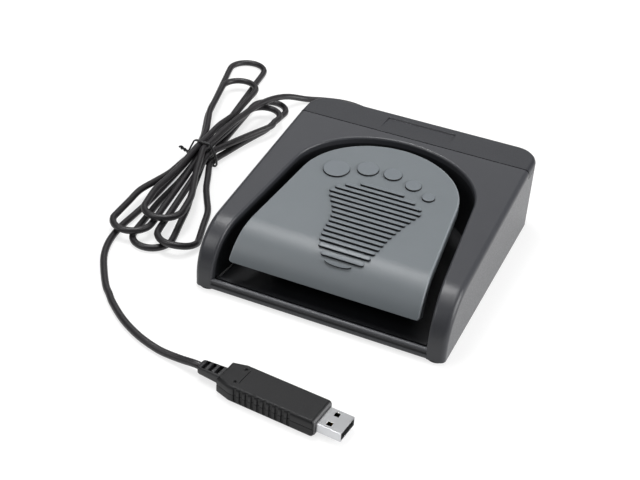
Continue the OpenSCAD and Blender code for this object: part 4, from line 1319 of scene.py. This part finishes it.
    def build(self) -> bpy.types.Object:
        """Builds the cord as one round curve.

        Returns:
            The cord's object.
        """
        line = self.route()
        curve = bpy.data.curves.new("cord", "CURVE")
        curve.dimensions = "3D"
        curve.bevel_depth = self.diameter / 2 * MM
        curve.bevel_resolution = self.round_steps
        curve.use_fill_caps = True
        spline = curve.splines.new("POLY")
        spline.points.add(len(line) - 1)
        for point, place in zip(spline.points, line):
            point.co = (*(place * MM), 1.0)
        spline.use_smooth = True
        cord = add_object("cord", curve)
        curve.materials.append(CORD_PVC.material())
        settle(cord, Body.BASE, Slot.CORD, "cord_lead_in", "cord_hank", "cord_lead_out")
        return cord

    def tie(self) -> bpy.types.Object:
        """Builds the coated wire tie: a band round the waist with its two ends twisted together.

        Returns:
            The tie's object.
        """
        clear = self.lie + self.tie_gap + self.tie_t / 2
        highest = max(level for _, level in self.strands)
        low_x, high_x = (max(x for x, level in self.strands if level == n) for n in (0, highest))
        wide, narrow = low_x * self.step + clear, high_x * self.step + clear + self.tie_slack
        z0, z1 = self.low - clear, self.low + highest * self.step + clear
        knee = self.low + self.lie + self.tie_knee
        right = [(wide, z0), (wide, knee), (narrow, z1)]
        corners = [Vector((x, 0, z)) for x, z in right + [(-x, z) for x, z in reversed(right)]]
        path = []
        for i, corner in enumerate(corners):
            before, after = corners[i - 1], corners[(i + 1) % len(corners)]
            a = corner + (before - corner).normalized() * self.tie_round
            b = corner + (after - corner).normalized() * self.tie_round
            for j in range(self.tie_steps + 1):
                u = j / self.tie_steps
                path.append(a.lerp(corner, u).lerp(corner.lerp(b, u), u))
        skin = Skin()
        skin.hoop(self.tie_rings(path, Vector((0, 0, (z0 + z1) / 2))))
        root = self.waist + Vector((-wide, 0, knee - 1))
        way = Vector(self.twist_way).normalized()
        for phase in (0.0, math.pi):
            line = []
            for i in range(self.twist_steps + 1):
                a = phase + 2 * math.pi * self.twist_turns * i / self.twist_steps
                spread = self.twist_r + self.twist_open * max(0, i - self.twist_tight)
                aside = spread * (math.cos(a) * BACKWARD + math.sin(a) * UP)
                line.append(root + way * (i * self.twist_step) + aside)
            skin.tube(line, self.twist_r, self.twist_sides)
        band = skin.make("cord_tie", TIE_PVC, TUBE_DEG)
        return settle(band, Body.BASE, Slot.TIE, "cable_tie")

    def tie_rings(self, path: list[Vector], middle: Vector) -> list[list[Vector]]:
        """Lays the flat section of the tie round its band, with the rounded side out.

        Args:
            path: Points of the band, closed, from the waist of the hank.
            middle: A place inside the band.

        Returns:
            One ring for each point.
        """
        half, thin = self.tie_w / 2, self.tie_t / 2
        section = [(1, 0), (0.8, 0.8), (0.3, 1), (-0.3, 1), (-0.8, 0.8), (-1, 0), (-0.6, -1), (0.6, -1)]
        rings = []
        for i, p in enumerate(path):
            along = (path[(i + 1) % len(path)] - path[i - 1]).normalized()
            out = along.cross(BACKWARD)
            if out.dot(p - middle) < 0:
                out = -out
            rings.append([self.waist + p + out * (h * thin) + BACKWARD * (w * half) for w, h in section])
        return rings


@dataclass
class Plug:
    """The long plug case in two halves, with grip grooves, a collar and a strain relief."""

    cord: Cord
    length: float = 48.0
    width: float = 16.5
    height: float = 8.4
    chamfer_l: float = 7.0
    chamfer_w: float = 2.0
    relief_l: float = 12.0
    wall: float = 1.6
    front_r: float = 0.8
    groove_count: int = 10
    groove_first: float = -11.5
    groove_plain: float = 14.8
    groove_depth: float = 0.75
    groove_half: float = 0.75
    # Form of a groove: shares of its half width, and of its depth.
    groove_form: tuple[tuple[float, float], ...] = ((1, 0), (0.7, 0.75), (0, 1), (-0.7, 0.75), (-1, 0))
    seam_gap: float = 0.06
    # Marks on top, near the cord: two dimples, as depths and radii, and a short line.
    mark_half: float = 4.6
    dimple_x: float = -40.0
    dimple: tuple[tuple[float, float], ...] = ((-0.7, 0.55), (0, 0.95), (0.5, 1.1))
    dimple_sides: int = 20
    line_x: tuple[float, float] = (-38.1, -37.7)
    line_deep: float = 0.3
    relief_r: float = 1.5
    corner_steps: int = 4
    # Windows of the strain relief, whose heights are from its middle, up and down.
    window_count: int = 3
    window_first: float = 1.5
    window_pitch: float = 3.3
    window_l: float = 2.0
    window_half: float = 2.7
    window_z: tuple[float, float] = (0.4, 4.0)

    def at(self, along: float, across: float, z: float) -> Vector:
        """Finds a point of the plug in the shared frame.

        Args:
            along: Place along the plug's axis, from where the metal shell leaves the case.
            across: Place to the side of the axis.
            z: Height.

        Returns:
            The point.
        """
        a = math.radians(self.cord.plug_yaw)
        base = self.cord.plug_pt(along, z)
        return base + Vector((-math.sin(a), math.cos(a), 0)) * across

    def outline(self, inset: float, depth: float) -> list[tuple[float, float]]:
        """Plan of the case, drawn in by an inset, with grooves of a depth in its long sides.

        Args:
            inset: How far the whole plan is drawn in.
            depth: Depth of the grooves; 0 leaves the same points on a straight side.

        Returns:
            Pairs of place along and across, right round.
        """
        half = self.width / 2 - inset
        taper = math.atan2(self.chamfer_w, self.chamfer_l)
        x_side = self.chamfer_l - self.length + inset * math.tan(taper / 2)
        y_end = self.width / 2 - self.chamfer_w - inset * math.tan(math.pi / 4 - taper / 2)
        r, halfway = self.front_r, 0.29 * self.front_r
        side = [(-inset, half - r), (-inset - halfway, half - halfway), (-inset - r, half)]
        pitch = (self.length - self.chamfer_l - self.groove_plain) / (self.groove_count - 1)
        for i in range(self.groove_count):
            x = self.groove_first - i * pitch
            for share, part in self.groove_form:
                side.append((x + share * self.groove_half, half - depth * part))
        side += [(x_side, half), (inset - self.length, y_end)]
        return side + [(x, -y) for x, y in reversed(side)]

    def half_case(self, name: str, levels: Sequence[tuple[float, float, float]]) -> bpy.types.Object:
        """Builds one half of the case.

        Args:
            name: Name of the piece.
            levels: Height, inset and depth of the grooves at each level, from the inside out.

        Returns:
            The new piece.
        """
        skin = Skin()
        skin.loft([
            [self.at(x, y, z) for x, y in self.outline(inset, depth)] for z, inset, depth in levels])
        return skin.make(name, PLUG_ABS)

    def build(self) -> list[bpy.types.Object]:
        """Builds the case, the collar and the strain relief, and gives the new pieces."""
        return [self.bottom(), self.top(), self.collar(), self.relief()]

    def bottom(self) -> bpy.types.Object:
        """Builds the lower half of the case.

        Returns:
            The new piece.
        """
        mid, g, w = self.height / 2 - self.seam_gap, self.groove_depth, self.wall
        half = self.half_case("plug_lower_half", (
            (w, w, 0), (mid, w, 0), (mid, 0.12, g), (mid - 0.15, 0, g), (1.5, 0, g), (0.9, 0, 0.3 * g),
            (0.5, 0.12, 0), (0.15, 0.4, 0), (0, 0.8, 0)))
        return settle(flatten_shading(half), Body.BASE, Slot.PLUG, "plug_case_bottom")

    def top(self) -> bpy.types.Object:
        """Builds the upper half of the case, with two dimples and a short line near the cord.

        Returns:
            The new piece.
        """
        h, g, w = self.height, self.groove_depth, self.wall
        mid = h / 2 + self.seam_gap
        half = self.half_case("plug_upper_half", (
            (h - w, w, 0), (mid, w, 0), (mid, 0.12, g), (mid + 0.15, 0, g), (h - 1.7, 0, g),
            (h - 1.1, 0.08, 0.7 * g), (h - 0.6, 0.35, 0.3 * g), (h - 0.2, 0.75, 0), (h, 1.25, 0)))
        marks = Skin()
        for y in (-self.mark_half, self.mark_half):
            marks.loft(turned(self.dimple, self.at(self.dimple_x, y, h), UP, self.dimple_sides))
        marks.loft([
            self.oblong(*self.line_x, self.mark_half, z) for z in (h - self.line_deep, h + self.line_deep)])
        carve(half, marks.make("plug_marks", PLUG_ABS))
        return settle(flatten_shading(half), Body.BASE, Slot.PLUG, "plug_case_top")

    def oblong(self, x0: float, x1: float, half_w: float, z: float) -> list[Vector]:
        """A level rectangle between two places along the plug's axis."""
        return [self.at(x, y, z) for x, y in ((x0, -half_w), (x1, -half_w), (x1, half_w), (x0, half_w))]

    def rounded(self, along: float, half_w: float, half_h: float, r: float) -> list[Vector]:
        """Makes a rounded rectangle across the plug's axis.

        Args:
            along: Its place along the axis.
            half_w: Half its width.
            half_h: Half its height.
            r: Radius of its corners.

        Returns:
            Its points in order.
        """
        made = []
        for k, (sy, sz) in enumerate(((1, 1), (-1, 1), (-1, -1), (1, -1))):
            for turn in quarter_turn(self.corner_steps):
                a = k * QUARTER + turn
                y, z = sy * (half_w - r) + r * math.cos(a), sz * (half_h - r) + r * math.sin(a)
                made.append(self.at(along, y, self.height / 2 + z))
        return made

    def collar(self) -> bpy.types.Object:
        """Builds the raised rim round the metal shell on the front face, in a pale grey that is a painted
        highlight.

        Returns:
            The new piece.
        """
        # Rings: place along the axis, half width, half height and radius of the corners.
        sizes = (
            (-0.3, 7.5, 3.6, 0.9), (0.25, 7.5, 3.6, 0.9), (0.4, 7.3, 3.4, 0.8), (0.4, 6.35, 2.55, 0.5),
            (-0.3, 6.1, 2.35, 0.4))
        skin = Skin()
        skin.hoop([self.rounded(*size) for size in sizes])
        # The collar's pale grey is a painted highlight.
        return settle(flatten_shading(skin.make("plug_collar", PALE_PAINTED_HIGHLIGHT)), Body.BASE, Slot.PLUG)

    def relief(self) -> bpy.types.Object:
        """Builds the strain relief: a tapered block with three windows in its top and its underside.

        Returns:
            The new piece.
        """
        start, end = -self.length, -self.length - self.relief_l
        # Rings: place along the axis, half width and half height.
        sizes = (
            (start + 0.3, 3.8, 2.7), (start, 3.8, 2.7), (end + 0.9, 3.17, 2.4), (end + 0.25, 3.0, 2.25),
            (end, 2.6, 2.0))
        skin = Skin()
        skin.loft([self.rounded(x, w, h, self.relief_r) for x, w, h in sizes])
        block = skin.make("plug_relief", RELIEF_PVC, SOFT_DEG)
        windows = Skin()
        for i in range(self.window_count):
            x0 = start - self.window_first - self.window_pitch * i
            for s in (-1, 1):
                windows.loft([
                    self.oblong(x0, x0 - self.window_l, self.window_half, self.height / 2 + s * z)
                    for z in self.window_z])
        carve(block, windows.make("relief_windows", RELIEF_PVC))
        return settle(flatten_shading(block), Body.BASE, Slot.CORD, "plug_strain_relief")


@dataclass
class Mechanism:
    """The wound, sheathed and ribbed parts: two return springs, the wires and the grommet."""

    spring_x: float = 25.0
    spring_y: float = -7.9
    spring_d: float = 9.0
    wire_d: float = 1.0
    turns: int = 6
    low: float = 5.0
    high: float = 24.0
    keep: float = 0.82
    end_gap: float = 0.1
    turn_steps: int = 24
    # How strongly the end turns close up.
    close_turns: float = 0.055
    wire_sides: int = 8
    lead_d: float = 1.3
    lead_apart: float = 0.6
    lead_sides: int = 10
    lead_steps: int = 6
    terminal_y: float = 4.1
    cord_end: float = 55.0
    grommet_l: float = 14.0
    grommet_fit: float = 0.02
    grommet_sides: int = 32
    # Foot of the grommet in the wall: places along its axis, and radii. Its ribs: places, and drops.
    grommet_root: tuple[tuple[float, float], ...] = (
        (-3.9, 4.8), (-3.7, 5.0), (-2.5, 5.0), (-2.4, 3.7), (0, 3.7), (0, 4.3), (0.3, 4.5), (1.6, 4.4))
    rib_count: int = 4
    rib_first: float = 2.2
    rib_pitch: float = 2.7
    rib_r: float = 4.3
    rib_taper: float = 0.13
    rib_form: tuple[tuple[float, float], ...] = ((0, 0.8), (1.0, 0.8), (1.2, 0.1), (2.4, 0.25))

    def build(self, cord: Cord) -> list[bpy.types.Object]:
        """Builds the springs, the wires and the grommet.

        Args:
            cord: The cord, for the place of the grommet.

        Returns:
            The grommet, which is on the cord.
        """
        for name, s in (("return_spring_left", -1), ("return_spring_right", 1)):
            self.spring(name, s)
        self.leads(cord)
        return [self.grommet(cord)]

    def spring(self, node: str, s: int) -> None:
        """Builds one return spring with closed end turns.

        Args:
            node: The CAD node that it replaces.
            s: Its side: -1 for the left, 1 for the right.
        """
        x, r = s * self.spring_x, (self.spring_d - self.wire_d) / 2
        z0 = self.low + self.wire_d / 2 + self.end_gap
        z1 = self.high - self.wire_d / 2 - self.end_gap
        steps = self.turn_steps * self.turns
        line = []
        for i in range(steps + 1):
            t = i / steps
            ease = t - self.close_turns * math.sin(4 * math.pi * t) / 2
            a = 2 * math.pi * self.turns * t
            z = z0 + (z1 - z0) * ease
            line.append(Vector((x + r * math.cos(a), self.spring_y + r * math.sin(a), z)))
        skin = Skin()
        skin.tube(line, self.wire_d / 2, self.wire_sides)
        piece = skin.make(node + "_wound", SPRING_WIRE, TUBE_DEG)
        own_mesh(piece)
        settle(piece, Body.BASE, Slot.SPRING, node)

    def leads(self, cord: Cord) -> None:
        """Builds the two insulated wires from the microswitch to the end of the cord.

        Args:
            cord: The cord, for the place where the wires enter it.
        """
        y, x, z = self.terminal_y, cord.grommet.x, cord.grommet.z
        end, drop = self.cord_end - cord.join_gap, self.lead_d * self.lead_apart
        red = [
            (0, y + 1, 10), (-1.5, y + 2.2, 8), (-8, 10, 6.3), (-13, 22, 6), (-13.5, 33, 6), (-13.5, 43, 6),
            (-17, 48, 7), (-23, 49, 8.5), (-29, 50.5, 9.8)]
        black = [
            (0, y + 9.5, 10), (-1.5, y + 10.7, 8), (-6, 19, 6.3), (-10, 26, 6), (-11, 33, 6), (-11, 43, 6),
            (-14, 50.5, 7.5), (-20, 52, 10), (-27, 52.3, 11.7)]
        for name, route, z_end, finish, nodes in (
            ("lead_red", red, z - drop, WIRE_RED, ("switch_leads",)),
            ("lead_black", black, z + drop, WIRE_BLACK, ()),
        ):
            points = [Vector(p) for p in (*route, (x, end - self.lead_d, z_end), (x, end, z_end))]
            skin = Skin()
            skin.tube(flowing(points, self.lead_steps), self.lead_d / 2, self.lead_sides)
            settle(skin.make(name, finish, TUBE_DEG), Body.BASE, Slot.WIRE, *nodes)

    def grommet(self, cord: Cord) -> bpy.types.Object:
        """Builds the tapered grommet with its bending ribs.

        Args:
            cord: The cord, for the grommet's place and its hole.

        Returns:
            The grommet.
        """
        hole = cord.diameter / 2 + self.grommet_fit
        profile = [(self.grommet_root[0][0], hole), *self.grommet_root]
        for i in range(self.rib_count):
            a = self.rib_first + i * self.rib_pitch
            r = self.rib_r - self.rib_taper * a
            profile += [(a + far, r - drop) for far, drop in self.rib_form]
        profile += [(self.grommet_l - 0.5, 2.6), (self.grommet_l, 2.3), (self.grommet_l, hole)]
        back = Vector((cord.grommet.x, CASE.back, cord.grommet.z))
        skin = Skin()
        skin.hoop(turned(profile, back, BACKWARD, self.grommet_sides))
        piece = skin.make("grommet_ribbed", RELIEF_PVC, SOFT_DEG)
        return settle(flatten_shading(piece), Body.BASE, Slot.CORD, "cord_grommet")


@dataclass(frozen=True)
class KeptNode:
    """A CAD node whose shape is right: it keeps its solid, and gets a finish and soft edges."""

    node: str
    finish: Finish
    edge_mm: float
    sharp_deg: float = 35.0
    edge_deg: float = 40.0

    def dress(self) -> None:
        """Gives the node its finish and rounds its edges."""
        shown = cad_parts[self.node]
        shown.data.materials.clear()
        shown.data.materials.append(self.finish.material())
        shown.data.shade_smooth()
        shown.data.set_sharp_from_angle(angle=math.radians(self.sharp_deg))
        if self.edge_mm:
            soften(shown, self.edge_mm, self.edge_deg, weld=True)
        flatten_shading(shown)
        LOG.info("%s keeps its solid", self.node)


# CAD nodes that keep their solids, by finish, with the width of their soft edges in millimetres.
KEPT: dict[Finish, dict[str, float]] = {
    TRAY_BLACK_AND_PAINTED_SHADE: {"base_tray": 0.5},
    ZINC_STEEL: {
        "pivot_axle": 0.3, "axle_clips": 0.1, "switch_lever": 0.08, "switch_screws": 0.25,
        "clamp_screws": 0.25, "case_screws": 0.25, "plug_crystal": 0.4},
    SWITCH_NYLON: {"switch_body": 0.3, "cable_clamp": 0.4},
    PLUNGER_ACETAL: {"switch_plunger": 0.3},
    GOLD_CONTACT: {"switch_terminals": 0.08, "usb_contacts": 0.05},
    FOOT_RUBBER: {
        "bumper_left": 0.8, "bumper_right": 0.8, "foot_front_left": 0.6, "foot_front_right": 0.6,
        "foot_rear_left": 0.6, "foot_rear_right": 0.6},
    CORD_PVC: {"cord_tail": 0.0},
    BOARD_EPOXY: {"plug_board": 0.1},
    CHIP_EPOXY: {"plug_controller": 0.12},
    NICKEL_SHEET: {"usb_shell": 0.14},
    # The tongue's near black is partly painted shade of the plug's mouth.
    TONGUE_BLACK_AND_PAINTED_SHADE: {"usb_tongue": 0.2},
}


@dataclass(frozen=True)
class SoftLamp:
    """A large soft studio lamp, aimed at the object."""

    name: str
    at: tuple[float, float, float]
    size: tuple[float, float]
    watts: float
    aim: tuple[float, float, float] = (0.0, 0.0, 0.02)

    def build(self) -> None:
        """Hangs the lamp."""
        light = bpy.data.lights.new(self.name, "AREA")
        light.shape = "RECTANGLE"
        light.size, light.size_y = self.size
        light.energy = self.watts
        lamp = add_object(self.name, light)
        lamp.location = self.at
        way = Vector(self.aim) - Vector(self.at)
        lamp.rotation_euler = way.to_track_quat("-Z", "Y").to_euler()
        LOG.info("%s gives %.1f W", self.name, self.watts)


@dataclass
class Studio:
    """Camera, pale floor and soft light."""

    lens_mm: float = 70.785
    sensor_mm: float = 36.0
    camera_at: Vector = field(default_factory=lambda: Vector((168.0, -485.1, 360.8)))
    right: Vector = field(default_factory=lambda: Vector((0.9109, 0.4089, 0.0551)))
    up: Vector = field(default_factory=lambda: Vector((-0.2756, 0.5037, 0.8187)))
    back: Vector = field(default_factory=lambda: Vector((0.3070, -0.7609, 0.5716)))
    floor_size: float = 40.0
    floor_colour: str = "#9c9c9c"
    floor_glow: float = 0.72
    sky: float = 0.06
    lamps: tuple[SoftLamp, ...] = (
        SoftLamp("key_right", (1.2, 0.15, 0.55), (0.9, 0.9), 16.0),
        SoftLamp("overhead", (-0.34, 0.24, 1.12), (0.4, 0.4), 6.5),
        SoftLamp("broad_top", (0.05, 0.0, 1.4), (1.0, 1.0), 5.8),
        SoftLamp("back_left", (-0.35, 1.25, 0.85), (1.1, 0.7), 1.8),
        SoftLamp("fill_left", (-0.55, -0.62, 0.7), (0.42, 0.42), 2.6),
    )

    def build(self) -> None:
        """Sets up the camera, the floor, the sky and the lamps."""
        scene = bpy.context.scene
        scene.view_settings.view_transform = "Standard"
        lens = bpy.data.cameras.new("camera")
        lens.lens = self.lens_mm
        lens.sensor_width = self.sensor_mm
        lens.sensor_fit = "HORIZONTAL"
        lens.clip_start, lens.clip_end = 0.01, 100.0
        camera = add_object("camera", lens)
        turn = Matrix((self.right, self.up, self.back)).transposed().to_4x4()
        camera.matrix_world = Matrix.Translation(self.camera_at * MM) @ turn
        scene.camera = camera
        self.floor()
        self.sky_light(scene)
        for lamp in self.lamps:
            lamp.build()

    def floor(self) -> None:
        """Lays the pale floor, which is white to the camera and keeps the object's shadow."""
        mesh = bpy.data.meshes.new("floor")
        h = self.floor_size / 2
        mesh.from_pydata([(-h, -h, 0), (h, -h, 0), (h, h, 0), (-h, h, 0)], [], [(0, 1, 2, 3)])
        floor = add_object("floor", mesh)
        material, tree, shader = new_material("painted_floor_white")
        shader.inputs["Base Color"].default_value = hex_linear(self.floor_colour)
        shader.inputs["Roughness"].default_value = 0.9
        shader.inputs["Specular IOR Level"].default_value = 0.0
        rays = add_node(tree, "ShaderNodeLightPath")
        seen = rays.outputs["Is Camera Ray"]
        for ray in ("Is Transmission Ray", "Is Glossy Ray"):
            either = {0: seen, 1: rays.outputs[ray]}
            seen = add_node(tree, "ShaderNodeMath", {"operation": "MAXIMUM"}, either).outputs[0]
        glow = add_node(tree, "ShaderNodeMath", {"operation": "MULTIPLY"}, {0: seen, 1: self.floor_glow})
        shader.inputs["Emission Color"].default_value = (1, 1, 1, 1)
        tree.links.new(glow.outputs[0], shader.inputs["Emission Strength"])
        mesh.materials.append(material)

    def sky_light(self, scene: bpy.types.Scene) -> None:
        """Makes the dim even sky that fills the deepest shade.

        Args:
            scene: The scene it lights.
        """
        world = bpy.data.worlds.new("studio_sky")
        world.use_nodes = True
        shade = world.node_tree.nodes["Background"]
        shade.inputs["Color"].default_value = (1, 1, 1, 1)
        shade.inputs["Strength"].default_value = self.sky
        scene.world = world


def main() -> None:
    """Builds the studio, the cord and then every piece of the object."""
    logging.basicConfig(level=logging.INFO, format="%(name)s: %(message)s")
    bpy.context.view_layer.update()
    Studio().build()
    cord = Cord()
    line = cord.build()
    on_cord = [cord.tie()]
    on_cord += Plug(cord).build()
    on_cord += Mechanism().build(cord)
    for finish, nodes in KEPT.items():
        for node, edge_mm in nodes.items():
            KeptNode(node, finish, edge_mm).dress()
    Housing().build()
    RearCover().build()
    Pedal().build()


if __name__ == "__main__":
    main()
